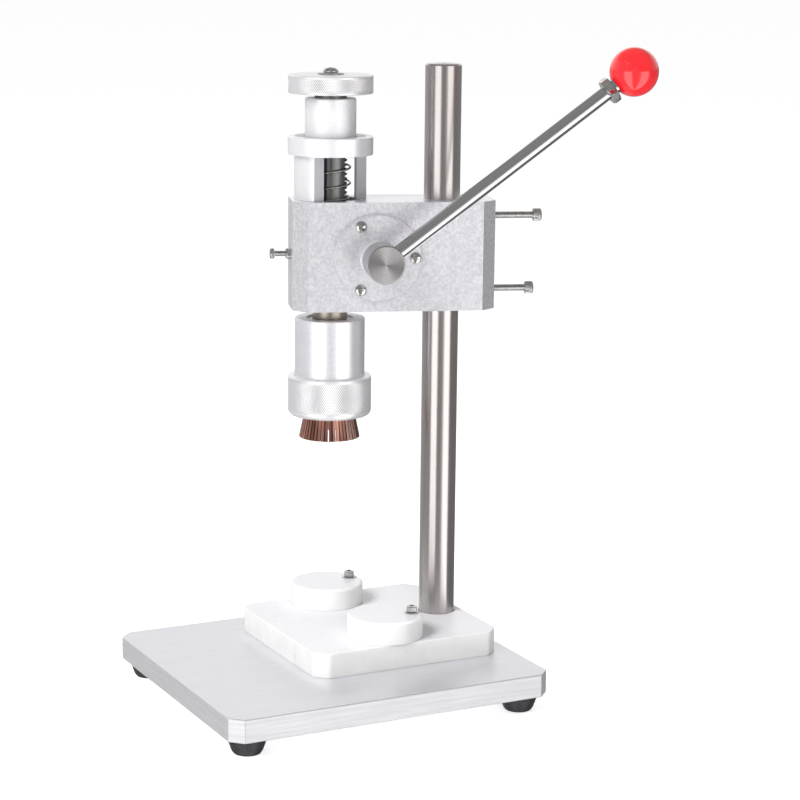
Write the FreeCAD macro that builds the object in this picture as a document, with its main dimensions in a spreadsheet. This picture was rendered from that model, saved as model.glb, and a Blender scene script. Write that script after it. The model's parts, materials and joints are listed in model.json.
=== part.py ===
"""Bench hand press with a rack quill and a slit crimping collet.

Millimetres, +Z up.  The origin is on the floor under the middle of the base plate, +Y runs to the
rear, where the column stands, and +X is the operator's right.  The head is drawn with the column
axis as its own Z axis and its spindle straight in front of it, then swung about the column.
"""
import FreeCAD, Part
import os
import re
import Sketcher
from FreeCAD import Placement, Rotation, Vector

SIZES = {
    # base plate and feet
    "foot_tall": 12, "foot_top_rad": 13.4, "foot_low_rad": 10, "foot_inset": 17, "foot_round": 1.5,
    "foot_sink_rad": 5, "foot_sink_deep": 4, "foot_screw_rad": 2.5, "foot_head_rad": 4.4, "foot_head_tall": 2.6,
    "foot_screw_reach": 9,
    "plate_wide": 210, "plate_long": 235, "plate_thick": 16, "plate_corner": 8.5,
    "plate_low": 12, "plate_top": 28,
    # column
    "column_x": -12, "column_y": 89.5, "column_rad": 12.5, "column_top": 432, "column_low": 23,
    "column_bevel": 1, "slip": 0.05, "bolt_rad": 4, "bolt_long": 28, "bolt_head_rad": 6.5, "bolt_head_tall": 4,
    "bolt_key_rad": 2.9, "bolt_sink_rad": 9, "bolt_sink_deep": 7, "bolt_washer_rad": 8.4,
    "bolt_washer_thick": 1.6, "bolt_washer_low": 5.35,
    # work board and the two locating discs
    "board_x": -15, "board_y": 36.5, "board_wide": 134, "board_long": 140, "board_thick": 17,
    "board_top": 45, "board_corner": 8.5, "board_screw_step": 50,
    "board_head_tall": 5, "board_sink_rad": 4.6, "board_sink_deep": 6, "board_tap_deep": 12,
    "disc_rad": 26, "disc_thick": 15.5, "disc_bevel": 1.2, "disc_offset": 18.3, "disc_top": 60.5,
    "pivot_y": 45.5, "pivot_step": 49.5, "pivot_tap_deep": 13, "left_disc_turn": 3, "right_disc_turn": 22,
    "locator_washer_rad": 5, "locator_washer_thick": 0.9,
    # head block, in the head's own frame
    "head_swing": -18.5, "block_half": 25, "block_front": -105, "block_rear": 35, "block_corner": 10,
    "block_low": 265, "block_top": 340, "spindle_y": -77.5, "bore_rad": 15, "spigot_rad": 21, "spigot_deep": 4,
    "lower_bush_top": 286, "upper_bush_low": 319, "rear_bush_end": -9, "cover_tap_deep": 10,
    # pinion, shaft and cover
    "pinion_y": -47.5, "pinion_z": 302.5, "module_size": 1, "tooth_count": 40, "tip_rad": 20.9,
    "root_rad": 18.75, "flank_angle": 20, "backlash": 0.15, "pinion_half": 8, "cavity_rad": 21.5,
    "shaft_rad": 7, "hub_rad": 13, "hub_start": 47.4, "hub_face": 64, "hub_bevel": 0.8,
    "shaft_end": -28, "circlip_start": -26.4, "circlip_end": -25.2, "circlip_deep": 0.7, "circlip_rad": 9.5,
    "key_size": 5, "key_half": 7, "spigot_long": 5, "cover_rad": 30, "cover_thick": 5, "cover_bevel": 2,
    "boss_rad": 15, "boss_face": 47, "boss_bevel": 1,
    "cover_screw_ring": 25, "cover_bush_rad": 9, "rear_bush_rad": 10,
    # handle
    "rod_x": 55.5, "rod_rad": 5, "rod_start": -5, "handle_tilt": 37.3, "handle_long": 210, "ball_rad": 16.5,
    "lock_nut_start": 186.6, "lock_nut_tall": 6, "lock_nut_rad": 9.8,
    # quill and what it carries
    "quill_rad": 12, "quill_bore": 6, "quill_low": 236, "quill_shoulder": 396, "quill_top": 411.5,
    "quill_neck": 11, "rack_line": 10, "rack_tip": 11, "rack_root": 8.75, "rack_first": 293.075,
    "rack_gaps": 25, "slot_low": 299.5, "slot_high": 330, "slot_wide": 4.2, "slot_floor": 9.6,
    "sleeve_rad": 17.5, "sleeve_low": 372, "sleeve_top": 408.8, "sleeve_bevel": 0.6,
    "pocket_rad": 15.4, "grub_z": 402, "grub_long": 6, "grub_inset": 0.4, "grub_key_rad": 1.15,
    # spring housing and spring
    "housing_rad": 24.8, "housing_bore": 18.3, "ring_rad": 29.2, "ring_low": 370.5, "ring_top": 383,
    "window_low": 344, "window_gap": 12.5, "window_turn": 62, "seat_thick": 2,
    "wire_rad": 0.75, "spring_rad": 13.5, "spring_pitch": 10.9,
    # crimping head
    "head_rad": 24.25, "head_top": 258, "head_low": 206, "head_core": 9, "recess_rad": 16, "recess_low": 254,
    "retainer_thick": 2.6,
    "nut_rad": 29, "nut_low": 189.5, "nut_top": 217.5, "nut_round": 4, "nut_floor": 197, "nut_mouth": 18.6,
    "nut_bevel": 0.8,
    "collet_ring": 23.8, "collet_top": 204, "collet_low": 173.7, "collet_waist": 17.9, "collet_lip": 21.25,
    "collet_wall": 2.6, "finger_count": 24, "slit_wide": 1.2, "slit_top": 193, "slit_turn": -8.6,
    # adjuster through the quill
    "stem_rad": 5.95, "stem_tip_rad": 4, "stem_tip_long": 9, "pad_rad": 8.5, "pad_low": 196, "pad_top": 212,
    "knob_rad": 29, "knob_low": 411.9, "knob_top": 424.5, "knob_bevel": 0.8, "knob_web": 1,
    "knob_screw_bore": 2.7, "knob_screw_deep": 14, "knob_washer_rad": 9, "knob_washer_thick": 1.2,
    # fasteners
    "set_screw_gap": 25.5, "upper_clamp_head": 64.4, "lower_clamp_head": 59.6, "clamp_pad_thick": 4,
    "guide_head": -115, "guide_tip": -87.7, "guide_nut_rad": 4.04, "guide_nut_tall": 3.2,
    "m4_rad": 2, "m4_head_rad": 3.5, "m4_head_tall": 4, "m4_key_rad": 1.73, "m4_key_deep": 2,
    "m5_rad": 2.5, "m5_head_rad": 4.25, "m5_head_tall": 5.5, "m5_key_rad": 2.31, "m5_key_deep": 2.5,
    "thread_gap": 0.02, "m5_thread_gap": 0.05,
    "m4_pan_rad": 4, "m4_pan_rim": 1.4, "m4_pan_crown": 1.2, "m4_crown_rad": 2.8, "m4_slot_half": 2,
    "m4_slot_wide": 0.4, "m5_pan_rad": 5.2, "m5_pan_rim": 1.4, "m5_pan_crown": 2.2, "m5_crown_rad": 3.2,
    "m5_slot_half": 2.6, "m5_slot_wide": 0.5,
}

UP = Vector(0, 0, 1)
MILLIMETRE = FreeCAD.Units.Unit("mm")
TINY = 1e-6

WORD = re.compile(r"\b(" + "|".join(SIZES) + r")\b")
ALONG = {
    "Z": Rotation(),
    "X": Rotation(Vector(0, 1, 0), 90),
    "Y": Rotation(Vector(1, 0, 0), -90),
}

doc = FreeCAD.newDocument("hand_press")
sheet = doc.addObject("Spreadsheet::Sheet", "Sizes")
for row, (alias, value) in enumerate(SIZES.items(), 1):
    sheet.set(f"A{row}", alias)
    sheet.set(f"B{row}", str(value))
    sheet.setAlias(f"B{row}", alias)
doc.recompute()

NODES = []


def bind(thing, path, text):
    """Bind one property to an expression written with the sheet's aliases."""
    thing.setExpression(path, WORD.sub(r"Sizes.\1", str(text)))


def fresh(kind, name):
    return doc.addObject(kind, name)


def move_to(thing, x, y, z):
    for letter, text in zip("xyz", (x, y, z)):
        bind(thing, f"Placement.Base.{letter}", text)


def cylinder(radius, tall, at, along="Z"):
    thing = fresh("Part::Cylinder", "cylinder")
    thing.Placement = Placement(Vector(), ALONG[along])
    bind(thing, "Radius", radius)
    bind(thing, "Height", tall)
    move_to(thing, *at)
    return thing


def cone(low_radius, high_radius, tall, at, along="Z"):
    thing = fresh("Part::Cone", "cone")
    thing.Placement = Placement(Vector(), ALONG[along])
    bind(thing, "Radius1", low_radius)
    bind(thing, "Radius2", high_radius)
    bind(thing, "Height", tall)
    move_to(thing, *at)
    return thing


def hexagon(corner_radius, tall, at, along="Z"):
    thing = fresh("Part::Prism", "hexagon")
    thing.Polygon = 6
    thing.Placement = Placement(Vector(), ALONG[along])
    bind(thing, "Circumradius", corner_radius)
    bind(thing, "Height", tall)
    move_to(thing, *at)
    return thing


def box(low, high):
    """A box between two corners."""
    thing = fresh("Part::Box", "box")
    for side, a, b in zip(("Length", "Width", "Height"), low, high):
        bind(thing, side, f"({b}) - ({a})")
    move_to(thing, *low)
    return thing


def fuse(*pieces):
    if len(pieces) == 1:
        return pieces[0]
    joined = fresh("Part::MultiFuse", "fuse")
    joined.Shapes = list(pieces)
    joined.Refine = True
    return joined


def cut(base, *tools):
    left = fresh("Part::Cut", "cut")
    left.Base = base
    left.Tool = fuse(*tools)
    return left


def group(*pieces):
    gathered = fresh("Part::Compound", "group")
    gathered.Links = list(pieces)
    return gathered


def node(label, thing, in_head=False):
    """Give a finished sub-part its name, and swing it about the column if the head carries it."""
    thing.Label = label
    if in_head:
        thing.Placement = Placement(Vector(), Rotation(UP, 1))
        bind(thing, "Placement.Rotation.Angle", "head_swing * 1 deg")
        move_to(thing, "column_x", "column_y", "0")
    NODES.append(thing)
    return thing


def head_node(label, thing):
    return node(label, thing, in_head=True)


def spindle(radius, low, high):
    """A cylinder about the spindle axis between two heights."""
    return cylinder(radius, f"({high}) - ({low})", ("0", "spindle_y", low))


def spindle_cone(low_radius, high_radius, low, high):
    return cone(low_radius, high_radius, f"({high}) - ({low})", ("0", "spindle_y", low))


def shaftwise(radius, start, end):
    """A cylinder about the pinion shaft axis between two X places."""
    return cylinder(radius, f"({end}) - ({start})", (start, "pinion_y", "pinion_z"), "X")


def outward(radius, start, end, height):
    """A cylinder along Y in the head's middle plane."""
    return cylinder(radius, f"({end}) - ({start})", ("0", start, height), "Y")


# ---- PartDesign helpers ----

def origin_plane(body, role):
    return next(item for item in body.Origin.OriginFeatures if item.Role == role)


def new_sketch(body, name, role):
    sketch = body.newObject("Sketcher::SketchObject", name)
    sketch.AttachmentSupport = [(origin_plane(body, role), "")]
    sketch.MapMode = "FlatFace"
    return sketch


def closed_outline(sketch, points):
    """Straight lines round a list of points, joined end to end."""
    count = len(points)
    for i, point in enumerate(points):
        after = points[(i + 1) % count]
        sketch.addGeometry(Part.LineSegment(Vector(*point, 0), Vector(*after, 0)), False)
    for i in range(count):
        sketch.addConstraint(Sketcher.Constraint("Coincident", i, 2, (i + 1) % count, 1))


def pin_point(sketch, line, x_text, y_text):
    """Fix the start of one line of an outline to bound coordinates."""
    for kind, text in (("DistanceX", x_text), ("DistanceY", y_text)):
        index = sketch.addConstraint(Sketcher.Constraint(kind, -1, 1, line, 1, 1.0))
        sketch.setDatum(index, FreeCAD.Units.Quantity(measured(text), MILLIMETRE))
        bind(sketch, f"Constraints[{index}]", text)


def measured(text):
    """The number that an expression gives now, without its unit."""
    found = sheet.evalExpression(WORD.sub(r"Sizes.\1", str(text)))
    return float(getattr(found, "Value", found))


def outline_sketch(body, name, role, corners):
    """A closed straight-sided sketch whose corners are bound expressions."""
    sketch = new_sketch(body, name, role)
    closed_outline(sketch, [[measured(text) for text in corner] for corner in corners])
    for line, corner in enumerate(corners):
        pin_point(sketch, line, *corner)
    return sketch


def ring_sketch(body, name, radii):
    """Concentric circles on the body's XY plane."""
    sketch = new_sketch(body, name, "XY_Plane")
    for i, text in enumerate(radii):
        value = measured(text)
        sketch.addGeometry(Part.Circle(Vector(), UP, value), False)
        sketch.addConstraint(Sketcher.Constraint("Coincident", i, 3, -1, 1))
        index = sketch.addConstraint(Sketcher.Constraint("Radius", i, value))
        bind(sketch, f"Constraints[{index}]", text)
    return sketch


def pad(body, sketch, tall):
    feature = body.newObject("PartDesign::Pad", "pad")
    feature.Profile = sketch
    bind(feature, "Length", tall)
    sketch.Visibility = False
    doc.recompute()
    return feature


def pocket_across(body, sketch, reach):
    """Cut a sketch evenly to both sides of its plane."""
    before = body.Shape.Volume
    feature = body.newObject("PartDesign::Pocket", "pocket")
    feature.Profile = sketch
    feature.Midplane = True
    bind(feature, "Length", reach)
    doc.recompute()
    assert body.Shape.Volume < before - TINY, f"{sketch.Name} cuts nothing"
    return feature


def slab(name, wide, long, thick, corner, at):
    """A plate with cut corners, centred on its own Z axis."""
    body = fresh("PartDesign::Body", name)
    half = (f"{wide} / 2", f"{long} / 2")
    signs = ((-1, -1), (1, -1), (1, 1), (-1, 1))
    corners = [(f"{a} * {half[0]}", f"{b} * {half[1]}") for a, b in signs]
    base = pad(body, outline_sketch(body, name + "_outline", "XY_Plane", corners), thick)
    upright = []
    for i, edge in enumerate(base.Shape.Edges, 1):
        a, b = edge.Vertexes[0].Point, edge.Vertexes[-1].Point
        if abs(a.x - b.x) + abs(a.y - b.y) < TINY:
            upright.append(f"Edge{i}")
    bevel = body.newObject("PartDesign::Chamfer", "corner_bevel")
    bevel.Base = (base, upright)
    bind(bevel, "Size", corner)
    doc.recompute()
    move_to(body, *at)
    return body


# ---- stand ----

def corner_places(step_x, step_y, x="0", y="0"):
    return [(f"{x} + ({a}) * ({step_x})", f"{y} + ({b}) * ({step_y})") for a in (-1, 1) for b in (-1, 1)]


FOOT_PLACES = corner_places("(plate_wide / 2 - foot_inset)", "(plate_long / 2 - foot_inset)")
BOARD_PLACES = corner_places("board_screw_step", "board_screw_step", "board_x", "board_y")


def make_stand():
    plate = slab("plate_slab", "plate_wide", "plate_long", "plate_thick", "plate_corner",
                 ("0", "0", "plate_low"))
    holes = [cylinder("column_rad + slip", "plate_top - column_low + 1",
                      ("column_x", "column_y", "column_low")),
             cylinder("bolt_rad + 0.3", "plate_thick", ("column_x", "column_y", "plate_low - 1")),
             cylinder("bolt_sink_rad", "bolt_sink_deep + 1", ("column_x", "column_y", "plate_low - 1"))]
    for x, y in FOOT_PLACES:
        holes.append(cylinder("foot_screw_rad", "foot_screw_reach + 2", (x, y, "plate_low - 1")))
    for x, y in BOARD_PLACES:
        holes.append(cylinder("m5_rad + 0.25", "plate_thick + 2", (x, y, "plate_low - 1")))
        holes.append(cylinder("board_sink_rad", "board_sink_deep + 1", (x, y, "plate_low - 1")))
    node("base_plate", cut(plate, *holes))

    feet, foot_screws = [], []
    for x, y in FOOT_PLACES:
        rim = cone("foot_low_rad - foot_round", "foot_low_rad", "foot_round", (x, y, "0"))
        body = cone("foot_low_rad", "foot_top_rad", "foot_tall - foot_round", (x, y, "foot_round"))
        bore = cylinder("foot_screw_rad + 0.1", "foot_tall + 1", (x, y, "0"))
        sink = cylinder("foot_sink_rad", "foot_sink_deep + 1", (x, y, "-1"))
        feet.append(cut(fuse(rim, body), bore, sink))
        head = cylinder("foot_head_rad", "foot_head_tall", (x, y, "foot_sink_deep - foot_head_tall"))
        shank = cylinder("foot_screw_rad - thread_gap", "plate_low + foot_screw_reach - foot_sink_deep",
                         (x, y, "foot_sink_deep"))
        foot_screws.append(fuse(head, shank))
    node("rubber_feet", group(*feet))
    node("foot_screws", group(*foot_screws))

    screws = []
    for x, y in BOARD_PLACES:
        seat = "plate_low + board_sink_deep"
        head = cylinder("m5_head_rad", "board_head_tall", (x, y, f"{seat} - board_head_tall"))
        shank = cylinder("m5_rad - m5_thread_gap", "22", (x, y, seat))
        screws.append(fuse(head, shank))
    node("board_screws", group(*screws))


def make_column():
    start = ("column_x", "column_y", "column_low")
    shaft = cylinder("column_rad", "column_top - column_bevel - column_low", start)
    bevel = cone("column_rad", "column_rad - column_bevel", "column_bevel",
                 ("column_x", "column_y", "column_top - column_bevel"))
    tapped = cylinder("bolt_rad", "25", ("column_x", "column_y", "column_low - 1"))
    node("column", cut(fuse(shaft, bevel), tapped))
    seat = "(plate_low + bolt_washer_low - slip)"
    head = cylinder("bolt_head_rad", "bolt_head_tall", ("column_x", "column_y", f"{seat} - bolt_head_tall"))
    shank = cylinder("bolt_rad - 0.03", "bolt_long", ("column_x", "column_y", seat))
    socket = hexagon("bolt_key_rad", "2.5", ("column_x", "column_y", f"{seat} - bolt_head_tall - 0.1"))
    node("column_bolt", cut(fuse(head, shank), socket))
    washer_low = "plate_low + bolt_washer_low"
    washer = cylinder("bolt_washer_rad", "bolt_washer_thick", ("column_x", "column_y", washer_low))
    bore = cylinder("bolt_rad + 0.2", "bolt_washer_thick + 2", ("column_x", "column_y", f"{washer_low} - 1"))
    node("column_bolt_washer", cut(washer, bore))


SIDES = {"left": ("-1", "left_disc_turn"), "right": ("1", "right_disc_turn")}


def make_board():
    board = slab("board_slab", "board_wide", "board_long", "board_thick", "board_corner",
                 ("board_x", "board_y", "plate_top"))
    holes = [cylinder("column_rad + 0.3", "board_thick + 2", ("column_x", "column_y", "plate_top - 1"))]
    for x, y in BOARD_PLACES:
        holes.append(cylinder("m5_rad", "board_tap_deep + 1", (x, y, "plate_top - 1")))
    for sign, _ in SIDES.values():
        holes.append(cylinder("m4_rad", "pivot_tap_deep + 1",
                              (f"board_x + {sign} * pivot_step", "pivot_y", "board_top - pivot_tap_deep")))
    node("work_board", cut(board, *holes))

    for side, (sign, turn) in SIDES.items():
        x = f"board_x + {sign} * pivot_step"
        centre = (f"{x} - {sign} * disc_offset * sin({turn})", f"pivot_y - disc_offset * cos({turn})")
        rim = cylinder("disc_rad", "disc_thick - disc_bevel", (*centre, "board_top"))
        bevel = cone("disc_rad", "disc_rad - disc_bevel", "disc_bevel", (*centre, "disc_top - disc_bevel"))
        pivot = cylinder("m4_rad + 0.15", "disc_thick + 2", (x, "pivot_y", "board_top - 1"))
        node(f"{side}_locator_disc", cut(fuse(rim, bevel), pivot))
        washer = cylinder("locator_washer_rad", "locator_washer_thick", (x, "pivot_y", "disc_top + slip"))
        bore = cylinder("m4_rad + 0.2", "locator_washer_thick + 2", (x, "pivot_y", "disc_top - 1"))
        node(f"{side}_locator_washer", cut(washer, bore))
        head = cylinder("m4_head_rad", "m4_head_tall", (x, "pivot_y", "disc_top + 1"))
        shank = cylinder("m4_rad - thread_gap", "disc_thick + pivot_tap_deep",
                         (x, "pivot_y", "board_top - pivot_tap_deep + 1"))
        socket = hexagon("m4_key_rad", "m4_key_deep + 1",
                         (x, "pivot_y", "disc_top + 1 + m4_head_tall - m4_key_deep"))
        node(f"{side}_locator_screw", cut(fuse(head, shank), socket))


# ---- head block and what is fixed to it ----

COVER_PLACES = [(f"pinion_y + cover_screw_ring * cos({turn})", f"pinion_z + cover_screw_ring * sin({turn})")
                for turn in (0, 120, 240)]
CLAMP_PLACES = {"upper": ("pinion_z + set_screw_gap", "upper_clamp_head"),
                "lower": ("pinion_z - set_screw_gap", "lower_clamp_head")}


def make_block():
    block = slab("block_slab", "2 * block_half", "(block_rear - block_front)", "(block_top - block_low)",
                 "block_corner", ("0", "(block_front + block_rear) / 2", "block_low"))
    holes = [cylinder("column_rad + slip", "block_top - block_low + 2", ("0", "0", "block_low - 1")),
             spindle("bore_rad", "block_low - 1", "block_top + 1"),
             spindle("spigot_rad", "block_top - spigot_deep", "block_top + 1"),
             shaftwise("cavity_rad", "rear_bush_end", "block_half + 1"),
             shaftwise("rear_bush_rad", "-block_half - 1", "0"),
             outward("m4_rad", "block_front - 1", "spindle_y", "pinion_z")]
    for height, _ in CLAMP_PLACES.values():
        holes.append(outward("m5_rad", "2", "block_rear + 1", height))
    for y, z in COVER_PLACES:
        holes.append(cylinder("m4_rad", "cover_tap_deep + 1", ("block_half - cover_tap_deep", y, z), "X"))
    head_node("head_block", cut(block, *holes))


def make_bushes():
    lower = cut(spindle("bore_rad", "block_low", "lower_bush_top"),
                spindle("quill_rad + slip", "block_low - 1", "lower_bush_top + 1"))
    head_node("lower_quill_bush", lower)
    top = "block_top - spigot_deep"
    upper = cut(spindle("bore_rad", "upper_bush_low", top),
                spindle("quill_rad + slip", "upper_bush_low - 1", "block_top"))
    head_node("upper_quill_bush", upper)
    rear = cut(shaftwise("rear_bush_rad", "-block_half", "rear_bush_end"),
               shaftwise("shaft_rad + slip", "-block_half - 1", "rear_bush_end + 1"))
    head_node("rear_bush", rear)
    front = cut(shaftwise("cover_bush_rad", "pinion_half + 1", "boss_face"),
                shaftwise("shaft_rad + slip", "pinion_half", "boss_face + 1"))
    head_node("cover_bush", front)


def make_cover():
    back = "block_half + cover_thick - cover_bevel"
    flange = shaftwise("cover_rad", "block_half", back)
    bevel = cone("cover_rad", "cover_rad - cover_bevel", "cover_bevel", (back, "pinion_y", "pinion_z"), "X")
    boss = shaftwise("boss_rad", "block_half", "boss_face - boss_bevel")
    nose = cone("boss_rad", "boss_rad - boss_bevel", "boss_bevel",
                ("boss_face - boss_bevel", "pinion_y", "pinion_z"), "X")
    spigot = shaftwise("cavity_rad - slip", "block_half - spigot_long", "block_half")
    tools = [shaftwise("cover_bush_rad", "block_half - spigot_long - 1", "boss_face + 1")]
    for y, z in COVER_PLACES:
        tools.append(cylinder("m4_rad + 0.2", "cover_thick + 2", ("block_half - 1", y, z), "X"))
    head_node("shaft_cover", cut(fuse(flange, bevel, boss, nose, spigot), *tools))

    screws = []
    for y, z in COVER_PLACES:
        face = "block_half + cover_thick"
        shank = cylinder("m4_rad - thread_gap", "cover_thick + cover_tap_deep - 1",
                         ("block_half - cover_tap_deep + 1", y, z), "X")
        head = cylinder("m4_pan_rad", "m4_pan_rim", (face, y, z), "X")
        crown = cone("m4_pan_rad", "m4_crown_rad", "m4_pan_crown", (f"{face} + m4_pan_rim", y, z), "X")
        slots = [box((f"{face} + m4_pan_rim - 0.1", f"{y} - {w}", f"{z} - {t}"),
                     (f"{face} + m4_pan_rim + m4_pan_crown + 1", f"{y} + {w}", f"{z} + {t}"))
                 for w, t in (("m4_slot_half", "m4_slot_wide"), ("m4_slot_wide", "m4_slot_half"))]
        screws.append(cut(fuse(shank, head, crown), *slots))
    head_node("cover_screws", group(*screws))


def window_cutter(sign):
    """A block that mills one flat window in the housing tube."""
    thing = fresh("Part::Box", "window")
    thing.Placement = Placement(Vector(), Rotation(UP, 1))
    bind(thing, "Length", "housing_rad")
    bind(thing, "Width", "3 * housing_rad")
    bind(thing, "Height", "ring_low - window_low")
    turn = f"(90 + {sign} * window_turn)"
    bind(thing, "Placement.Rotation.Angle", f"{turn} * 1 deg")
    half = "1.5 * housing_rad"
    move_to(thing, f"window_gap * cos({turn}) + {half} * sin({turn})",
            f"spindle_y + window_gap * sin({turn}) - {half} * cos({turn})", "window_low")
    return thing


def make_housing():
    foot = spindle("spigot_rad - slip", "block_top - spigot_deep", "block_top")
    tube = spindle("housing_rad", "block_top", "ring_low")
    ring = spindle("ring_rad", "ring_low", "ring_top")
    bore = spindle("housing_bore", "block_top - spigot_deep - 1", "ring_top + 1")
    head_node("spring_housing", cut(fuse(foot, tube, ring), bore, window_cutter(-1), window_cutter(1)))
    low = "block_top - spigot_deep"
    seat = cut(spindle("housing_bore - 0.1", low, f"{low} + seat_thick"),
               spindle("quill_rad + 0.3", f"{low} - 1", f"{low} + seat_thick + 1"))
    head_node("spring_seat_washer", seat)


def make_spring():
    helix = fresh("Part::Helix", "spring_line")
    bind(helix, "Pitch", "spring_pitch")
    bind(helix, "Radius", "spring_rad")
    low = "block_top - spigot_deep + seat_thick + wire_rad + 0.1"
    bind(helix, "Height", f"quill_shoulder - wire_rad - 0.1 - ({low})")
    move_to(helix, "0", "spindle_y", low)
    section = fresh("Part::Circle", "wire_section")
    section.Placement = Placement(Vector(), Rotation(Vector(1, 0, 0), 90))
    bind(section, "Radius", "wire_rad")
    move_to(section, "spring_rad", "spindle_y", low)
    wire = fresh("Part::Sweep", "wire")
    wire.Sections = [section]
    wire.Spine = (helix, ["Edge1"])
    wire.Solid = True
    wire.Frenet = True
    head_node("return_spring", group(wire))


def make_clamps():
    for which, (height, head_start) in CLAMP_PLACES.items():
        start = "column_rad + 0.1"
        end = f"{start} + clamp_pad_thick"
        head_node(f"{which}_clamp_pad", group(outward("m5_rad - 0.1", start, end, height)))
        shank = outward("m5_rad - m5_thread_gap", f"{end} + 0.02", head_start, height)
        head = outward("m5_head_rad", head_start, f"{head_start} + m5_head_tall", height)
        socket = hexagon("m5_key_rad", "m5_key_deep + 0.5",
                         ("0", f"{head_start} + m5_head_tall - m5_key_deep", height), "Y")
        head_node(f"{which}_clamp_screw", cut(fuse(shank, head), socket))


def make_guide():
    shank = outward("m4_rad - thread_gap", "guide_head", "guide_tip", "pinion_z")
    head = outward("m4_head_rad", "guide_head - m4_head_tall", "guide_head", "pinion_z")
    socket = hexagon("m4_key_rad", "m4_key_deep + 0.2",
                     ("0", "guide_head - m4_head_tall - 0.2", "pinion_z"), "Y")
    head_node("guide_screw", cut(fuse(shank, head), socket))
    nut = hexagon("guide_nut_rad", "guide_nut_tall", ("0", "block_front - guide_nut_tall", "pinion_z"), "Y")
    bore = outward("m4_rad", "block_front - guide_nut_tall - 1", "block_front + 1", "pinion_z")
    head_node("guide_lock_nut", cut(nut, bore))


# ---- pinion, shaft and handle ----

def tooth_gap(line, half_line, root, top, slope):
    """Corners of a straight-sided gap: half width at one line, and the same slope on both sides."""
    low = f"{half_line} - ({line} - {root}) * tan({slope})"
    high = f"{half_line} + ({top} - {line}) * tan({slope})"
    return low, high


def make_pinion():
    body = fresh("PartDesign::Body", "pinion_blank")
    pad(body, ring_sketch(body, "pinion_tips", ["tip_rad"]), "2 * pinion_half")
    pitch_rad = "(module_size * tooth_count / 2)"
    half_gap = "(pi * module_size / 4 + backlash / 2)"
    slope = "(flank_angle - 90 / tooth_count)"
    low, high = tooth_gap(pitch_rad, half_gap, "root_rad", "(tip_rad + 1)", slope)
    corners = [("root_rad", f"-1 * ({low})"), ("tip_rad + 1", f"-1 * ({high})"),
               ("tip_rad + 1", high), ("root_rad", low)]
    gap = pocket_across(body, outline_sketch(body, "tooth_gap", "XY_Plane", corners), "6 * pinion_half")
    pattern = body.newObject("PartDesign::PolarPattern", "teeth")
    pattern.Originals = [gap]
    pattern.Axis = (body.Origin.OriginFeatures[2], [""])
    pattern.Angle = 360
    bind(pattern, "Occurrences", "tooth_count")
    body.Tip = pattern
    doc.recompute()
    body.Placement = Placement(Vector(), ALONG["X"] * Rotation(UP, 90 + 180 / SIZES["tooth_count"]))
    move_to(body, "-pinion_half", "pinion_y", "pinion_z")
    bore = shaftwise("shaft_rad + 0.02", "-pinion_half - 1", "pinion_half + 1")
    top = "pinion_z + shaft_rad + key_size / 2"
    keyway = box(("-pinion_half - 1", "pinion_y - key_size / 2", "pinion_z"),
                 ("pinion_half + 1", "pinion_y + key_size / 2", top))
    head_node("pinion_gear", cut(body, bore, keyway))


def make_shaft():
    journal = shaftwise("shaft_rad", "shaft_end", "hub_start")
    hub = shaftwise("hub_rad", "hub_start", "hub_face - hub_bevel")
    bevel = cone("hub_rad", "hub_rad - hub_bevel", "hub_bevel",
                 ("hub_face - hub_bevel", "pinion_y", "pinion_z"), "X")
    groove = cut(shaftwise("shaft_rad + 1", "circlip_start", "circlip_end"),
                 shaftwise("shaft_rad - circlip_deep", "circlip_start - 1", "circlip_end + 1"))
    keyway = box(("-key_half", "pinion_y - key_size / 2", "pinion_z + shaft_rad - key_size / 2"),
                 ("key_half", "pinion_y + key_size / 2", "pinion_z + shaft_rad + 1"))
    socket = along_handle(fresh("Part::Cylinder", "rod_socket"), "rod_start - 1")
    bind(socket, "Radius", "rod_rad + 0.02")
    bind(socket, "Height", "hub_rad + 8")
    head_node("pinion_shaft", cut(fuse(journal, hub, bevel), groove, keyway, socket))
    key = box(("-key_half + 0.1", "pinion_y - key_size / 2 + 0.02", "pinion_z + shaft_rad - key_size / 2"),
              ("key_half - 0.1", "pinion_y + key_size / 2 - 0.02",
               "pinion_z + shaft_rad + key_size / 2 - slip"))
    head_node("pinion_key", group(key))
    ring = cut(shaftwise("circlip_rad", "circlip_start + slip", "circlip_end - slip"),
               shaftwise("shaft_rad - circlip_deep + slip", "circlip_start - 1", "circlip_end + 1"),
               box(("circlip_start - 1", "pinion_y - 3", "pinion_z - circlip_rad - 1"),
                   ("circlip_end + 1", "pinion_y + 3", "pinion_z")))
    head_node("shaft_circlip", ring)


def along_handle(thing, distance):
    """Stand a primitive on the handle's axis, this far out from the hub's axis."""
    thing.Placement = Placement(Vector(), Rotation(Vector(-1, 0, 0), 1))
    bind(thing, "Placement.Rotation.Angle", "(90 - handle_tilt) * 1 deg")
    move_to(thing, "rod_x", f"pinion_y + ({distance}) * cos(handle_tilt)",
            f"pinion_z + ({distance}) * sin(handle_tilt)")
    return thing


def handle_cylinder(radius, start, end):
    thing = along_handle(fresh("Part::Cylinder", "handle_bar"), start)
    bind(thing, "Radius", radius)
    bind(thing, "Height", f"({end}) - ({start})")
    return thing


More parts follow.
